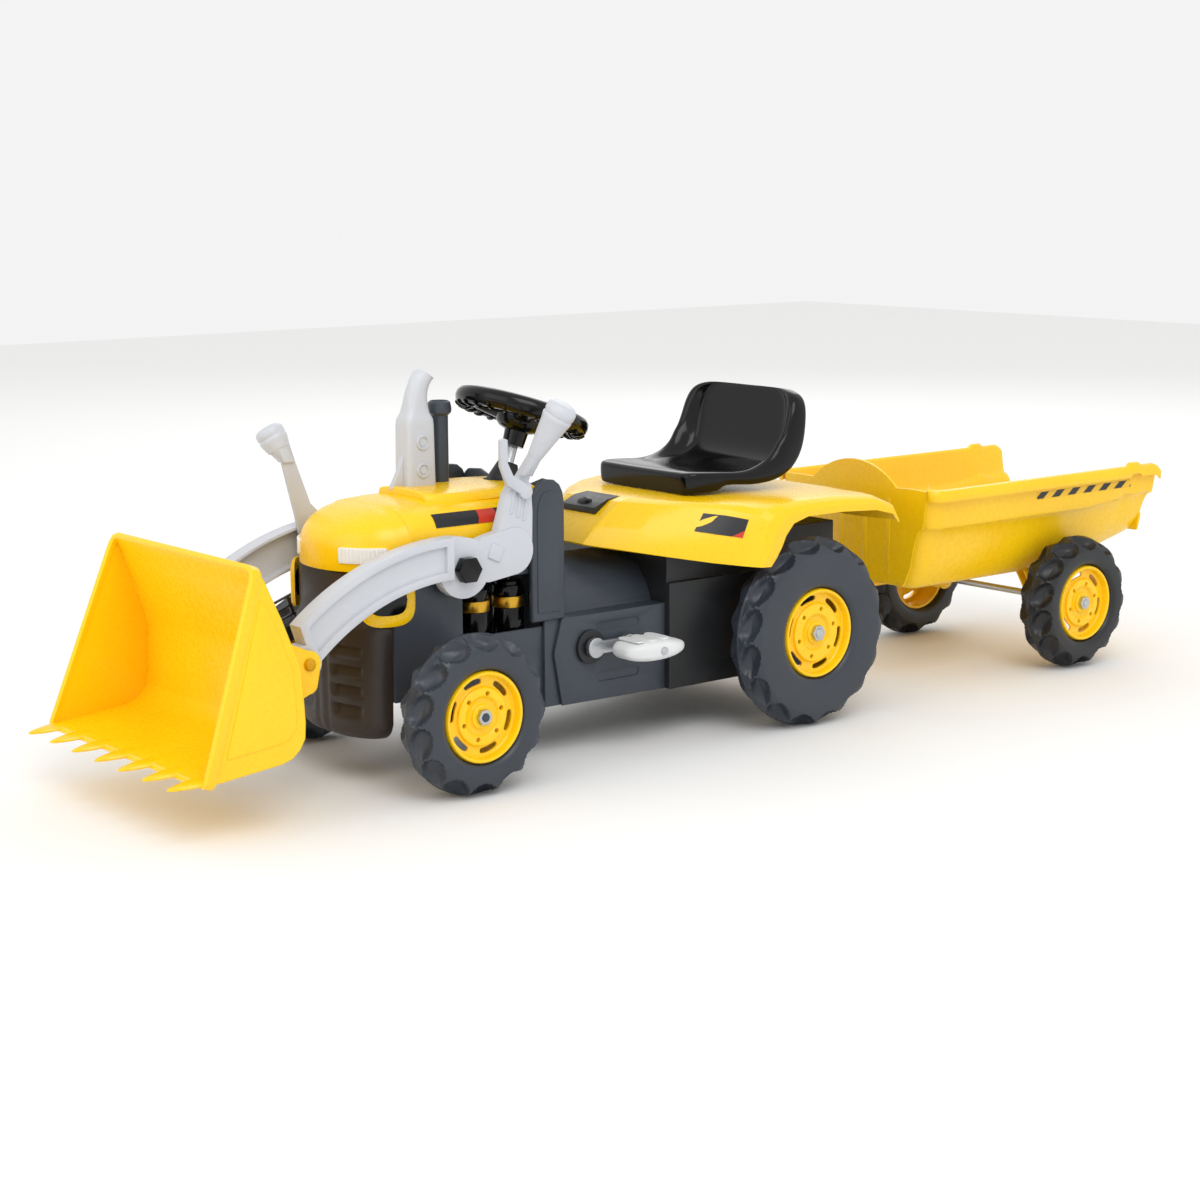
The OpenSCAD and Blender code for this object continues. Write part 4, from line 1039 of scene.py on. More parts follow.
@dataclass
class RearCover:
    """The yellow cover over the back wheels, with its fender lips."""

    wall: float = 3.5
    lines: tuple[tuple[float, tuple[Pair, ...]], ...] = (
        # distance to the side, then x and z from the rear edge to the front one
        (54, ((-149, 263), (-140, 290), (-110, 303), (-40, 309), (60, 311), (150, 311.5),
        (206, 311.5), (222, 308),
              (262, 280), (284, 259))),
        (60, ((-149, 263), (-140, 290), (-110, 303), (-40, 309), (60, 311), (146, 311.5),
        (200, 311.5), (216, 307.5),
              (256, 279), (277, 257))),
        (98, ((-149, 263), (-140, 290), (-110, 303), (-40, 308), (60, 310), (130, 310.5),
        (174, 309.5), (190, 306),
              (222, 276), (240, 250))),
        (130, ((-149, 263), (-140, 290), (-110, 302), (-40, 307), (50, 309), (108, 309), (144, 308),
        (160, 304),
               (186, 272), (200, 242))),
        (165, ((-149, 264), (-140, 289), (-110, 302), (-40, 307), (36, 308.5), (84, 308),
        (112, 305), (126, 300),
               (146, 264), (156, 234))),
        (190, ((-149, 266), (-138, 288), (-106, 301), (-40, 306), (26, 306.5), (66, 304), (88, 299),
        (98, 292),
               (112, 258), (122, 229))),
        (199, ((-149, 265), (-138, 285), (-106, 297), (-40, 302), (26, 302), (60, 299), (80, 292),
        (89, 284),
               (101, 254), (112, 228))),
        (202.5, ((-148, 263), (-137, 281), (-106, 291), (-40, 295), (24, 295), (54, 291), (72, 281),
        (79, 269),
                 (92, 246), (104, 227))),
        (201.5, ((-147, 261), (-136, 274), (-104, 282), (-40, 286), (22, 286), (48, 279), (62, 264),
        (69, 250),
                 (79, 236), (88, 226))))

    def build(self) -> None:
        """Builds the cover and its trim."""
        half = [[(x, y, z) for x, z in line] for y, line in self.lines]
        other = [[(x, -y, z) for x, y, z in line] for line in reversed(half)]
        middle = [[(x, 0, z) for x, y, z in half[0]]]
        piece = loft("rear_body_cover", other + middle + half, closed=False)
        walled(piece, self.wall)
        rounded(piece, 2.6, 3, 14)
        fitted(piece, "chassis", Finish.YELLOW, "rear_cover", angle=40)
        self.latch()

    def latch(self) -> None:
        """Builds the dark plate and the oval knob in front of the seat."""
        tongue = loft("seat_latch_plate", [[(x, y * half_y, z) for x,
            z in ((204, 312), (226, 309.5), (248, 300), (246, 291), (222, 303), (202, 304))] for y,
            half_y in ((-1, 34), (-0.97, 36), (0.97, 36), (1, 34))])
        rounded(tongue, 1.2, 2, 30)
        fitted(tongue, "chassis", Finish.BOX)
        knob = lathe("seat_latch_knob", [(0.01, 11), (6, 11), (8.6, 9.4), (9.6, 6), (9.6, 0),
            (0.01, 0)], (0, 0, 0), 32)
        edit(knob, "VERT")
        shaped_by(lambda p: Vector((233 + p.y * 0.5 + p.z * 0.62, p.x * 1.5,
            299.5 + p.y * 0.72 - p.z * 0.42)))
        close_up(knob)
        fitted(knob, "chassis", Finish.GLOSS)


@dataclass
class Seat:
    """The glossy seat shell: pan, curved back and rolled bolsters."""

    path: tuple[tuple[float, ...], ...] = (
        # x, z, direction x, direction z, half width, thickness, bolster height
        (140, 335, 0.1, 1.0, 80, 20, 0), (139.4, 338, 0.05, 1.0, 86, 25, 0),
        (136, 340.6, 0.0, 1.0, 92, 28, 0),
        (128, 342, 0.0, 1.0, 98, 29.2, 0), (114, 341.5, 0.0, 1.0, 102, 28.8, 0.4),
        (88, 339.5, 0.0, 1.0, 104, 26.6, 0.8),
        (82.5, 339, 0.0, 1.0, 104.5, 18, 1.0), (64, 336.5, 0.0, 1.0, 107, 16, 2),
        (46, 335, 0.0, 1.0, 109, 16, 4),
        (30, 334, 0.02, 1.0, 111, 16, 7), (6, 335.5, 0.12, 0.99, 112.5, 16, 14),
        (-12, 340, 0.34, 0.94, 113.5, 16, 22),
        (-25, 348, 0.58, 0.81, 114, 16, 27), (-34, 359, 0.8, 0.6, 114.5, 16, 26),
        (-39.5, 373, 0.94, 0.34, 115, 16, 22),
        (-43, 390, 0.98, 0.2, 115, 15, 18), (-46, 407, 0.985, 0.17, 114, 14, 15.5),
        (-48.4, 420, 0.985, 0.17, 111, 13.5, 13),
        (-50, 429, 0.985, 0.17, 106, 12.5, 10), (-51.4, 435, 0.985, 0.17, 98, 11, 7),
        (-53, 438.8, 0.985, 0.17, 86, 8, 3.5),
        (-54.5, 440.2, 0.985, 0.17, 74, 4.5, 1.5))

    def build(self) -> None:
        """Skins the seat through rings along its path."""
        piece = loft("seat_shell", [self.ring(*station) for station in self.path])
        smoothed(piece, 2)
        fitted(piece, "seat", Finish.GLOSS, "seat", angle=50)

    def ring(self, x: float, z: float, nx: float, nz: float, half: float, thick: float,
        bolster: float) -> list[Point]:
        """Returns the seat's outline across one station of its path.

        Args:
            x: the middle's distance forwards.
            z: the middle's height.
            nx: the sitter's side, forwards part.
            nz: the sitter's side, upwards part.
            half: half the width.
            thick: the shell's thickness.
            bolster: how high the side rolls stand.

        Returns:
            The ring's corners.
        """
        size = math.hypot(nx, nz)
        side = [(0.3 * half, 0.0), (half - 38, 0.2), (half - 27, 0.5), (half - 21,
            0.4 + 0.5 * bolster), (half - 15, 0.4 + 0.9 * bolster), (half - 8, 0.4 + bolster),
            (half - 2.5, -0.8 + 0.85 * bolster), (half, -3 + 0.45 * bolster), (half, -0.62 * thick),
            (half - 2, 1.5 - thick), (half - 8, -thick), (0.5 * half, -thick)]
        ring = [(0.0, 0.0), *side, (0.0, -thick), *[(-y, out) for y, out in reversed(side)]]
        return [(x + nx / size * out, y, z + nz / size * out) for y, out in ring]


@dataclass
class SteeringWheel:
    """The fat-rimmed wheel with its dished centre and ribbed underside."""

    centre: Point = (338.0, 0.0, 430.0)
    tilt: float = 20.0
    ribs: int = 24
    rim: tuple[Pair, ...] = ((88, -1), (87.2, 5), (83.5, 9.6), (77.5, 11.6), (71, 10.4),
        (66.6, 6.4), (64.6, 1), (65.4, -6), (68.8, -10.6), (74.6, -12.6), (81, -12), (86, -7.6),
        (88, -1))

    def build(self) -> None:
        """Builds the rim, the spokes, the hub and the ribs as one moulding."""
        parts = [lathe("wheel_rim", self.rim, (0, 0, 0), 96)]
        parts.append(lathe("wheel_hub", [(20.6, 6), (24, 6.4), (28.4, 4.6), (31, 0), (31.5, -8),
            (29, -19), (24, -24), (15.5, -27), (14, -46), (7.2, -46), (7.2, -17), (20.6, -10),
            (20.6, 6)], (0, 0, 0), 64))
        for k in range(3):
            parts.append(self.arm(math.radians(60 + 120 * k)))
        parts.append(lathe("wheel_cup", [(67, -4), (67.5, -8), (63, -9.6), (58, -7.4), (56, -5.6),
            (58.4, -4.6), (63, -4.8), (67, -4)], (0, 0, 0), 96))
        parts += [self.fin(math.tau * (k + 0.5) / self.ribs) for k in range(self.ribs)]
        for part in parts:
            edit(part, "VERT")
            shaped_by(self.tilted)
            close_up(part)
        piece = joined(parts, "steering_wheel_moulding")
        fitted(piece, "steering", Finish.GLOSS, "steering_wheel", angle=40)

    def fin(self, turn: float) -> Piece:
        """Returns one thin rib under the rim, at an angle round it."""
        return loft("wheel_fin", [[(radius * math.cos(turn) - across * math.sin(turn), level,
            radius * math.sin(turn) + across * math.cos(turn)) for across,
            level in ((-1.1, -9), (1.1, -9), (1.1, low), (-1.1, low))] for radius,
            low in ((67, -11.6), (71, -14.2), (77, -15.2), (83, -13.8), (86, -11))])

    def arm(self, turn: float) -> Piece:
        """Returns one dished spoke, flat in the wheel's own axes, at an angle round it."""
        sections = []
        for radius, half, top, low in ((26, 14, -2, -17), (34, 12.5, -3.4, -15),
            (44, 11.5, -4, -13), (54, 12.5, -2, -11),
                                       (63, 15, 1, -9), (72, 18, 3, -8)):
            sections.append([self.turned(radius, across * half, top if up > 0 else low, turn, up)
                             for across, up in oval(16, 3.6)])
        piece = loft("wheel_spoke", sections)
        return piece

    def turned(self, radius: float, across: float, level: float, turn: float, up: float) -> Point:
        """Returns a spoke's point in the wheel's own axes, with y along the column."""
        deep = level * abs(up) if abs(up) > 0.2 else -6.0 * (1 - abs(up))
        return (radius * math.cos(turn) - across * math.sin(turn), deep,
                radius * math.sin(turn) + across * math.cos(turn))

    def tilted(self, p: Vector) -> Vector:
        """Turns a point from the wheel's own axes, y along the column, to the tractor's."""
        c, s = math.cos(math.radians(self.tilt)), math.sin(math.radians(self.tilt))
        return Vector((self.centre[0] + p.x * c - p.y * s, self.centre[1] + p.z,
            self.centre[2] + p.x * s + p.y * c))


@dataclass
class Exhaust:
    """The square stack with two screw bosses, its curved pipe and the air intake."""

    x: float = 488.0
    y: float = -24.0
    intake: Point = (446.0, -30.0, 346.0)
    bosses: Pair = (366.0, 401.0)
    stations: tuple[tuple[float, ...], ...] = (
        # lean, z, half length, half width, squareness
        (0, 344, 22, 17, 7), (0, 352, 21.5, 17, 7), (0, 422, 20.5, 16.5, 7),
        (0, 429, 19.8, 16, 6.5),
        (0, 433, 18.4, 15, 5), (-0.5, 437, 16.8, 14, 4), (-1, 446, 15.2, 13.4, 3),
        (-2, 456, 14.4, 13, 2.4),
        (-4.4, 466, 13.8, 12.6, 2.1), (-8.4, 475, 13.4, 12.3, 2), (-13.4, 482.5, 13.2, 12.2, 2),
        (-17, 484, 12.2, 11.6, 2), (-17.4, 484.2, 9.8, 9.4, 2), (-13, 480, 9.8, 9.2, 2),
        (-9.6, 474, 9.6, 9, 2))

    def build(self) -> None:
        """Builds the stack, the bosses and the intake."""
        sections = []
        for lean, z, along, across, power in self.stations:
            slope = min(0.62, max(0.0, -lean) * 0.04)
            sections.append([(self.x + lean + u * along * math.cos(slope), self.y + v * across,
                              z + u * along * math.sin(slope)) for u, v in oval(36, power)])
        stack = loft("exhaust_pipe", sections)
        parts = [stack]
        for z in self.bosses:
            parts.append(lathe("boss", [(0.01, 1.6), (4.2, 1.6), (4.8, 0.4), (6.6, 0.4), (7.4, 2.4),
                (8.8, 2.4), (9.8, 0), (9.8, -4), (0.01, -4)], (self.x, self.y + 16.9, z), 40))
        fin = slab("fin", [(509, 344), (528, 344), (516, 366), (510, 384), (506, 384), (506, 344)],
            self.y - 3, self.y + 5)
        rounded(fin, 1.2)
        parts.append(fin)
        fitted(joined(parts, "exhaust_pipe"), "chassis", Finish.SILVER, angle=38)
        intake = lathe("air_intake", [(0.01, 0), (11, 0), (11, 84), (15, 88), (15.6, 93), (14, 101),
            (11.5, 103), (10, 101), (10, 94), (0.01, 93)], (0, 0, 0), 40)
        edit(intake, "VERT")
        shaped_by(lambda p: Vector(self.intake) + Vector((p.x, p.z, p.y)))
        close_up(intake)
        fitted(intake, "chassis", Finish.SLATE, "exhaust_stack")


@dataclass
class Bucket:
    """The loader bucket: one flared moulding with a rolled lip, side panels and teeth."""

    wall: float = 4.0
    half_low: float = 189.0
    half_high: float = 168.0
    teeth: int = 7
    tooth: float = 38.0
    low_edge: Pair = (918.0, 72.0)
    high_edge: Pair = (834.0, 303.0)
    pin: Pair = (752.0, 179.0)
    middle: Pair = (838.0, 172.0)
    plates: tuple[Pair, ...] = ((92, 98), (135, 141))
    side: tuple[Pair, ...] = ((918, 72), (890, 74.5), (850, 78.5), (820, 81.5), (806, 85.5),
        (795, 94), (787, 106), (785, 124), (785, 150), (786, 186), (790, 200), (797, 218),
        (806, 244), (816, 268), (824, 288), (834, 303))

    def spread(self, z: float) -> float:
        """Returns half the bucket's width at a height."""
        bottom, top = self.low_edge[1], self.high_edge[1]
        return self.half_low + (self.half_high - self.half_low) * (z - bottom) / (top - bottom)

    def build(self) -> None:
        """Builds the shell, the lip, the teeth and the lugs."""
        shell = loft("bucket_shell", [
            [(x, share * self.spread(z), z) for x, z in self.side] for share in
            (-1, -0.985, -0.8, -0.4, 0, 0.4, 0.8, 0.985, 1)], closed=False)
        walled(shell, self.wall)
        rounded(shell, 1.8, 3, 24)
        sides = [self.cheek(0.0, self.wall, self.side)]
        cx, cz = self.middle
        inner = [(cx + (x - cx) * 0.7 - 4, cz + (z - cz) * 0.74) for x, z in self.side]
        sides.append(self.cheek(-2.0, 2.0, inner))
        sides += [twin(panel, "bucket_cheek") for panel in sides]
        parts = [shell, *sides, self.lip(), *[self.fang(k) for k in range(self.teeth)],
            *self.lugs()]
        fitted(joined(parts, "bucket_moulding"), "bucket", Finish.YELLOW, "bucket", angle=38)

    def cheek(self, out: float, deep: float, line: Sequence[Pair]) -> Piece:
        """Returns a left side panel between two distances inwards of the flare."""
        panel = loft("bucket_cheek", [[(x, self.spread(z) - inset, z) for x,
            z in line] for inset in (out, deep)])
        rounded(panel, 1.9, 3, 30)
        return panel

    def lip(self) -> Piece:
        """Returns the rolled lip round the mouth, as one closed ring."""
        low, high = self.low_edge, self.high_edge
        reach = math.dist(low, high)
        along = ((high[0] - low[0]) / reach, (high[1] - low[1]) / reach)
        ahead = (along[1], -along[0])
        ring, corner = [], 16.0
        for cx, cu, a0 in ((-1, reach - corner, 90), (-1, corner * 0.4, 180),
            (1, corner * 0.4, 270), (1, reach - corner, 0)):
            radius = corner if cu > 50 else corner * 0.4
            for k in range(5):
                angle = math.radians(a0 + 22.5 * k)
                wide = self.half_high if cu > 50 else self.half_low
                ring.append((cx * (wide - radius) + radius * math.cos(angle),
                    cu + radius * math.sin(angle), math.cos(angle), math.sin(angle)))
        sections = []
        for y, u, oy, ou in ring + ring[:1]:
            sections.append([(low[0] + along[0] * (u + ou * out) + ahead[0] * deep, y + oy * out,
                low[1] + along[1] * (u + ou * out) + ahead[1] * deep) for out,
                deep in ((-4.5, -3), (-4.5, 1.6), (-2.5, 3.4), (0.5, 3.4), (2.6, 1.6), (2.6, -9),
                (1.2, -11), (-0.5, -11))])
        return loft("bucket_lip", sections, caps=False)

    def fang(self, k: int) -> Piece:
        """Returns one pointed tooth of the bucket's lower edge, by its number."""
        y = (k - (self.teeth - 1) / 2) * 2 * (self.half_low - 18) / (self.teeth - 1)
        sections = []
        for run, half, thick in ((-14, 15, 5), (2, 14.5, 6.5), (12, 12, 7), (24, 8, 6),
            (33, 4.4, 4.2), (self.tooth - 0.6, 1.4, 2)):
            drop = -run * 0.07
            x, z = self.low_edge[0] + run, self.low_edge[1] + 2.5 + drop
            sections.append([(x, y + half * c, z + thick / 2 * s) for c, s in oval(12, 2.6)])
        return loft("bucket_tooth", sections)

    def lugs(self) -> list[Piece]:
        """Returns the four plates that hold the bucket's pins."""
        (x, z), drop = self.pin, 24.0
        outline = [(x + 16 * math.cos(a), z + 16 * math.sin(a)) for a in
                   [math.radians(90 + 15 * k) for k in range(7)]]
        outline += [(x + 11 * math.cos(a), z - drop + 11 * math.sin(a)) for a in
                    [math.radians(185 + 17 * k) for k in range(6)]]
        outline += [(x + 36, z - 50), (x + 38, z + 10), (x + 48, z + 38)]
        plates = []
        for y0, y1 in self.plates:
            for side in (-1, 1):
                plate = slab("bucket_lug", outline, *sorted((side * y0, side * y1)))
                rounded(plate, 1.4)
                plates.append(plate)
            cap = [(0.01, 5.4), (3.6, 5.2), (6.2, 4.0), (7.4, 2.2), (7.6, -2), (0.01, -2)]
            plates.append(lathe("pin_cap", [(r, side * a) for r, a in cap], (x, side * 141, z), 32))
        return plates


@dataclass
class WheelRims:
    """The six moulded rims with their slots and bolt holes."""

    bore: float = 6.6
    slots: int = 6

    def build(self) -> None:
        """Builds one left rim for each pair of wheels and mirrors it."""
        for wheel in WHEELS:
            left = self.rim(wheel)
            right = twin(left, f"{wheel.name}_rim_moulding_right")
            fitted(left, wheel.bodies[0], Finish.YELLOW, f"{wheel.name}_rim_left", angle=30)
            fitted(right, wheel.bodies[1], Finish.YELLOW, f"{wheel.name}_rim_right", angle=30)

    def rim(self, wheel: RoadWheel) -> Piece:
        """Returns a wheel's left rim: a spun section with slots and holes cut through."""
        r, h, b = wheel.rim, wheel.width / 2, self.bore
        section = [(r, h - 9), (r - 0.4, h - 5), (r - 1.6, h - 3.2), (r - 3.2, h - 2.8),
            (r - 4.8, h - 3.6), (r - 5.8, h - 6), (r - 6.8, h - 12.6), (r - 8.2, h - 14),
            (r - 19.2, h - 14), (r - 20.4, h - 13), (r - 20.9, h - 10), (r - 22, h - 9),
            (26, h - 8.7), (24.4, h - 9.6), (22.6, h - 12.6), (20.6, h - 13.6), (16.2, h - 13.6),
            (15, h - 12.6), (14.6, h - 9.4), (13.4, h - 8.6), (b, h - 8.6), (b, 10 - h),
            (14, 10 - h), (14, h - 17), (r - 9.6, h - 17), (r - 3.4, h - 14), (r - 3.4, 9 - h),
            (r, 9 - h), (r, h - 9)]
        piece = lathe(f"{wheel.name}_rim_moulding_left", section, (wheel.x, wheel.y, wheel.z), 96)
        cutters = []
        for k in range(self.slots):
            turn = math.tau * (k + 0.25) / self.slots
            cutters.append(self.cutter(wheel, [
                (r - 13.6 + 3.9 * out, turn + across * 0.31) for across, out in oval(28, 3.4)]))
            cutters.append(self.cutter(wheel, [(r - 28 + 3.1 * out,
                turn + math.pi / self.slots + across * 3.1 / (r - 28)) for across,
                out in oval(20, 2)]))
        tool = joined(cutters, "rim_cutter")
        modify(piece, "BOOLEAN", operation="DIFFERENCE", object=tool, solver="EXACT")
        bpy.data.objects.remove(tool)
        rounded(piece, 0.5, 2, 50)
        return piece

    def cutter(self, wheel: RoadWheel, ring: Sequence[Pair]) -> Piece:
        """Returns a rod across the rim, through a ring of radius and angle."""
        return loft("rim_cutter", [[(wheel.x + radius * math.cos(turn), y,
            wheel.z + radius * math.sin(turn)) for radius, turn in ring] for y in (wheel.y + 5,
            wheel.y + wheel.width)])


@dataclass
class TrailerTub:
    """The trailer's tub with its rolled rim, swage line, arched front and stickers."""

    front: float = -262.0
    rear: float = -761.0
    rim: float = 284.0
    wall: float = 3.4
    floor: float = 141.0
    axle: Pair = (-558.9, 98.0)
    arch: Pair = (198.0, 122.0)
    trims: tuple[Pair, ...] = (
        (-756.6, 0), (-290, 0), (-278, 1.2), (-270, 4), (-265, 8.5), (-262.2, 15))
    tops: tuple[Pair, ...] = (
        (-756.6, 276), (-751, 281), (-743, 284), (-712, 284), (-706, 289), (-690, 289),
        (-684, 284), (-300, 284), (-262, 284))
    floors: tuple[Pair, ...] = ((-761, 183), (-740, 176), (-690, 164), (-640, 150), (-610, 143),
        (-590, 141), (-282, 141), (-270, 143), (-262, 150))
    side: tuple[Pair, ...] = ((141, 106), (144, 112), (150, 117), (175, 128.5), (196, 132),
        (214, 137), (224, 141), (229, 145), (232, 150), (238, 151.6), (262, 154.5), (284, 157))

    def half_at(self, z: float) -> float:
        """Returns half the tub's width at a height."""
        return between(self.side, z)

    def build(self) -> None:
        """Builds the shell, the front plate, the tailboard, the legs and the stickers."""
        stations = [-756.6, -751, -743, -728, -712, -706, -690, -684, -660, -640, -610, -590, -540,
                    -490, -440, -390, -340, -300, -290, -283, -277, -271, -267, -264, -262.2]
        shell = loft("tub_shell", [self.section(x) for x in stations], closed=False)
        walled(shell, self.wall)
        rounded(shell, 1.4, 2, 36)
        parts = [shell, self.headboard(), self.tailboard(), *self.legs(), *self.beads()]
        fitted(joined(parts, "trailer_tub_moulding"), "trailer", Finish.YELLOW, "trailer_tub",
            angle=40)
        fitted(both(self.stripe(), "tub_stripes"), "trailer", Finish.HATCH)

    def section(self, x: float) -> list[Point]:
        """Returns half the tub's skin across the trailer, mirrored, at one station."""
        trim, low, high = between(self.trims, x), between(self.floors, x), between(self.tops, x)
        side = []
        for z, half in self.side:
            share = (z - self.floor) / (self.rim - self.floor)
            side.append((half - trim, low + (high - low) * share))
        lip = [(158.5 - trim, high + 1.2), (161.5 - trim, high + 0.6), (163.4 - trim, high - 2),
            (163.8 - trim, high - 6), (163.4 - trim, high - 12)]
        flat = [(y, low) for y in (-92, -46, 0, 46, 92)]
        right = [(-y, z) for y, z in reversed(side + lip)]
        return [(x, y, z) for y, z in right + flat + side + lip]

    def headboard(self) -> Piece:
        """Returns the front plate with its arched top."""
        side = [(half - 13, z) for z, half in self.side if z > self.floor] + [(142, self.rim + 2)]
        level, radius = self.arch
        turns = [math.radians(46 + 88 * k / 24) for k in range(25)]
        arch = [(radius * math.cos(turn), level + radius * math.sin(turn)) for turn in turns]
        other = [(-y, z) for y, z in reversed(side)]
        outline = [(98, 145), *side, (112, 287), *arch, (-112, 287), *other, (-98, 145)]
        plate = loft("tub_headboard", [[(x, y, z) for y, z in outline] for x in (self.front - 0.5,
            self.front - 5)])
        rounded(plate, 1.6, 3, 30)
        return plate

    def tailboard(self) -> Piece:
        """Returns the low board across the rear."""
        outline = [(-126, 180), (-131, 205), (-129, 211), (-123, 214), (123, 214), (129, 211),
            (131, 205), (126, 180)]
        board = loft("tub_tailboard", [[(x, y, z) for y, z in outline] for x in (self.rear + 3,
            self.rear + 8)])
        rounded(board, 1.8, 3, 30)
        return board

    def beads(self) -> list[Piece]:
        """Returns the upright ribs on the headboard."""
        ribs = []
        for y in (-70, -24, 24, 70):
            rib = loft("tub_rib", [[(self.front - 1 + out, y + across, z) for out, across in (
                (0, -5), (1.4, -3), (1.4, 3), (0, 5))] for z in (160, 270)])
            rounded(rib, 0.6)
            ribs.append(rib)
        return ribs

    def legs(self) -> list[Piece]:
        """Returns the two plates that carry the trailer's axle."""
        x, z = self.axle
        outline = [(x - 46, 146), (x - 17, z + 4)]
        outline += [(x + 17 * math.cos(a), z + 17 * math.sin(a)) for a in
                    [math.radians(190 + 160 * k / 12) for k in range(13)]]
        outline += [(x + 17, z + 4), (x + 46, 146)]
        plates = []
        for side in (-1, 1):
            for y0, y1 in ((88, 92), (104, 108)):
                plate = slab("axle_leg", outline, *sorted((side * y0, side * y1)))
                rounded(plate, 1.2)
                plates.append(plate)
        return plates

    def stripe(self) -> Piece:
        """Returns the hatched sticker along the left side."""
        return loft("tub_stripe", [[(x, self.half_at(z) + out, z) for z,
            out in ((256, 0.1), (256, 0.5), (266, 0.5), (266, 0.1))] for x in (-486, -560, -640,
            -700)])


@dataclass
class DashFairing:
    """The fairing round the steering column: two rounded cheeks and a cross wall."""

    cheek: tuple[Pair, ...] = ((354, 178), (354, 326), (356, 339), (361, 349), (369, 355),
        (380, 356.5), (391, 354), (399, 346), (404, 334), (406, 318), (406, 178))

    def build(self) -> None:
        """Builds the fairing."""
        cheek = slab("dash_cheek", self.cheek, 99, 108)
        rounded(cheek, 3.2, 3)
        inner = slab("dash_cheek_panel", [(x * 0.7 + 114, z * 0.86 + 36) for x, z in self.cheek],
            107, 109.4)
        rounded(inner, 1.6, 3)
        parts = [cheek, inner, twin(cheek, "dash_cheek_right"), twin(inner, "dash_panel_right")]
        wall = [(-100, 178), (-100, 344), (-92, 350), (-66, 352), (-44, 344), (-30, 334), (30, 334),
            (44, 344), (66, 352), (92, 350), (100, 344), (100, 178)]
        board = loft("dash_board", [[(x, y, z) for y, z in wall] for x in (354, 359.5)])
        rounded(board, 1.8, 3)
        parts.append(board)
        for y in (-56, 0, 56):
            bead = loft("dash_bead", [[(x, y + w * c, 262 + t * s) for c, s in oval(20, 5)] for x,
                w, t in ((354.5, 22, 62), (352.8, 20, 60))])
            rounded(bead, 0.8)
            parts.append(bead)
        fitted(joined(parts, "dash_fairing_moulding"), "chassis", Finish.SLATE, "dash_fairing")
        seam = slab("housing_flange", [(346, 66), (384, 66), (384, 180), (346, 180)], 94, 103)
        rounded(seam, 1.6)
        fitted(both(seam, "housing_flanges"), "chassis", Finish.SLATE)


@dataclass
class Stickers:
    """The plain patches on the bonnet and the wings."""

    def build(self) -> None:
        """Builds the stickers and mirrors them."""
        cover, hood = RearCover(), Hood()
        wing = loft("wing_sticker", [[self.on_cover(cover, y, share) for share in (0.2, 0.42, 0.64,
            0.86)] for y in (142, 152, 162, 172, 182)], closed=False)
        nose = loft("bonnet_sticker", [[hood.skin(x, turn) for turn in (20, 27, 34, 41)]
                                       for x in (428, 452, 476, 500, 524, 540)], closed=False)
        for piece, name in ((wing, "wing_stickers"), (nose, "bonnet_stickers")):
            outward(piece)
            modify(piece, "SOLIDIFY", thickness=0.5 * MM, offset=0.0)
            fitted(both(piece, name), "chassis", Finish.PATCH)

    def on_cover(self, cover: RearCover, y: float, share: float) -> Point:
        """Returns a point just off the cover's front face, between its fold and its lower edge."""
        x0 = between([(w, line[-3][0]) for w, line in cover.lines], y)
        z0 = between([(w, line[-3][1]) for w, line in cover.lines], y)
        x1 = between([(w, line[-2][0]) for w, line in cover.lines], y)
        z1 = between([(w, line[-2][1]) for w, line in cover.lines], y)
        return (x0 + (x1 - x0) * share + 0.5, y + 0.35, z0 + (z1 - z0) * share + 0.35)


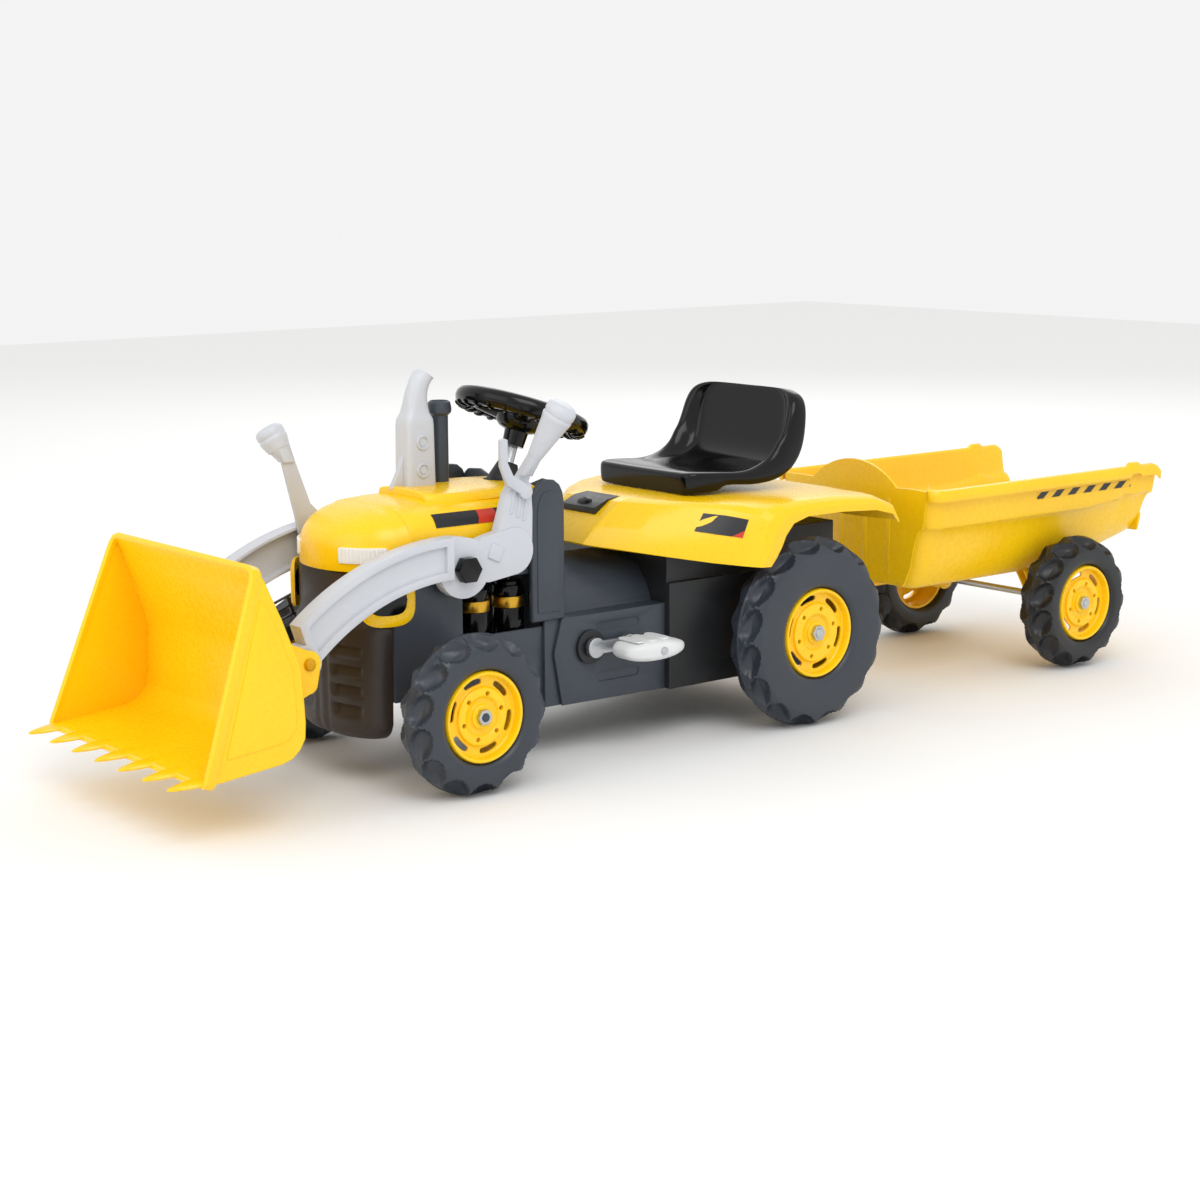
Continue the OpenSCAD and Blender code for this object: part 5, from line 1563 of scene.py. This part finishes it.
@dataclass
class LeverGrips:
    """The flared, capped grips of both levers, and the marks on the near plate."""

    plate: float = 14.0
    near_foot: Point = (420, 26, 394)
    near_way: Point = (-0.316, 0.409, 0.855)
    far_foot: Point = (624.5, 31, 380)
    far_way: Point = (0.31, -0.4, 0.86)
    near: tuple[Pair, ...] = ((-3, 9.4), (10, 11.6), (24, 13.9), (38, 16.3), (46, 17.7), (50, 18.9),
        (53, 19.4), (55.5, 18.2), (58, 19.4), (64, 19.4), (68, 18), (70.6, 14.8), (72, 9),
        (72.5, 3))
    far: tuple[Pair, ...] = ((16, 14.6), (24, 16.8), (28, 18), (31, 18.4), (33.5, 17.2), (36, 18.4),
        (41.5, 18.4), (44.6, 16.8), (46.6, 13.4), (47.8, 8), (48.2, 3))

    def build(self) -> None:
        """Builds both grips on their levers."""
        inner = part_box("loader_arm_left")[0].y / MM
        x, y, z = self.near_foot
        near = self.grip("lift_lever_grip", (x, inner + y, z), self.near_way, self.near)
        fitted(near, "loader", Finish.SILVER, angle=50)
        fitted(joined(self.marks(inner), "lever_plate_marks"), "loader", Finish.SILVER)
        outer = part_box("tip_lever")[0].y / MM
        x, y, z = self.far_foot
        far = self.grip("tip_lever_grip", (x, outer + y, z), self.far_way, self.far)
        fitted(far, "tip_lever", Finish.SILVER, angle=50)

    def marks(self, inner: float) -> list[Piece]:
        """Returns the slanted bars and the square boss moulded on the near lever's plate."""
        face = inner + self.plate
        marks = []
        for k in range(3):
            x, z = 428 + 9.5 * k, 312 + 5 * k
            bar = slab("plate_bar", [(x, z), (x + 5, z), (x - 1, z + 30), (x - 6, z + 30)],
                face - 2, face + 1.4)
            rounded(bar, 1.2, 3)
            marks.append(bar)
        boss = slab("plate_boss", [(470, 264), (488, 272), (480, 290), (462, 282)], face - 2,
            face + 4.6)
        rounded(boss, 2.0, 3)
        marks.append(boss)
        return marks

    def grip(
        self, name: str, foot: Point, way: Point, stations: Sequence[Pair]
    ) -> Piece:
        """Returns a round grip along an axis.

        Args:
            name: the piece's name.
            foot: the axis's start.
            way: the axis's direction.
            stations: distances along the axis and radii.

        Returns:
            The grip.
        """
        axis = Vector(way).normalized()
        side = axis.cross(Vector((0, 1, 0))).normalized()
        up = side.cross(axis)
        return loft(name, [[tuple(Vector(foot) + axis * along + (side * c + up * s) * radius) for c,
            s in oval(40, 2)] for along, radius in stations])


@dataclass
class Pedals:
    """The leaf-shaped pedals with a raised pad."""

    outline: tuple[tuple[float, float, float], ...] = (
        # share of the length, of the width and of the depth
        (-1.0, 0.3, 0.12), (-0.97, 0.44, 0.3), (-0.88, 0.62, 0.48), (-0.7, 0.82, 0.66),
        (-0.45, 0.95, 0.84),
        (-0.15, 1.0, 0.97), (0.2, 1.0, 1.0), (0.5, 0.93, 0.94), (0.74, 0.8, 0.8), (0.89, 0.62, 0.6),
        (0.97, 0.44, 0.36),
        (1.0, 0.26, 0.16))

    def build(self) -> None:
        """Builds each pedal inside its CAD part's box."""
        for side in ("left", "right"):
            low, high = (design(corner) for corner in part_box(f"pedal_{side}"))
            mid, half = (low + high) / 2, (high - low) / 2
            leaf = loft(f"pedal_leaf_{side}", [
                [(mid.x + along * half.x, mid.y + wide * half.y * c, mid.z + deep * half.z * s)
                 for c, s in oval(32, 3.2)] for along, wide, deep in self.outline])
            smoothed(leaf, 1)
            pads = [leaf]
            for k in (-1, 0, 1):
                pads.append(loft("pedal_rib", [[(mid.x + 8 + 21 * k + w * c, mid.y + t * s,
                    mid.z + half.z * level) for c, s in oval(20, 4)] for w, t,
                    level in ((7.4, 21, 0.86), (6.8, 20.4, 0.99))]))
            fitted(joined(pads, f"pedal_leaf_{side}"), f"pedal_{side}", Finish.PEDAL,
                f"pedal_{side}", angle=45)


# ---------------------------------------------------------------- kept parts


@dataclass
class KeptParts:
    """CAD parts whose shape stays, with rounded edges and their finish."""

    finishes: dict[Finish, dict[str,
        float]] = field(default_factory=lambda: {Finish.SLATE: {"front_chassis": 2.0,
        "drive_housing": 1.5, "front_axle_beam": 1.5, "tow_hitch": 1.5, "knuckle_left": 1.0,
        "knuckle_right": 1.0}, Finish.YELLOW: {"trailer_drawbar": 2.0},
        Finish.GRILLE: {"tip_link": 0.8}, Finish.BOX: {"seat_box": 2.0, "drive_chain": 0.0,
        "drive_sprocket": 0.4, "driven_sprocket": 0.4, "axle_bushes": 0.5},
        Finish.GLOSS: {"horn_button": 1.5, "pivot_knobs": 1.5, "engine_cylinders": 0.8},
        Finish.SILVER: {"loader_arm_left": 1.5, "loader_arm_right": 1.5, "tip_lever": 1.2,
        "lever_trigger": 1.2}, Finish.BOOT: {"column_boot": 1.0},
        Finish.STEEL: {"steering_column": 0.5, "horn_spring": 0.0, "front_nut_left": 0.6,
        "front_nut_right": 0.6, "tie_rod": 0.6, "rear_axle": 0.5, "rear_hub_nuts": 0.6,
        "crank_axle": 0.6, "pivot_shaft": 0.5, "bucket_pins": 0.6, "hitch_pin": 0.6,
        "trailer_axle": 0.5, "trailer_nuts": 0.6}, Finish.GOLD: {"cylinder_bands": 0.6},})

    def build(self) -> None:
        """Rounds and dresses each kept part."""
        for choice, nodes in self.finishes.items():
            for node, width in nodes.items():
                piece = soft_edges(node, width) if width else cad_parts[node]
                dress(piece, finish_of(choice))


def main() -> None:
    """Builds the scene in order and reports each sub-assembly."""
    logging.basicConfig(level=logging.INFO, format="%(message)s")
    assemblies = (Studio(), *WHEELS, Hood(), Grille(), RearCover(), Seat(), SteeringWheel(),
        Exhaust(), Bucket(), WheelRims(), TrailerTub(), DashFairing(), Stickers(), LeverGrips(),
        Pedals(), KeptParts(),)
    for assembly in assemblies:
        assembly.build()
        log.info("built %s", getattr(assembly, "name", type(assembly).__name__))


if __name__ == "__main__":
    main()
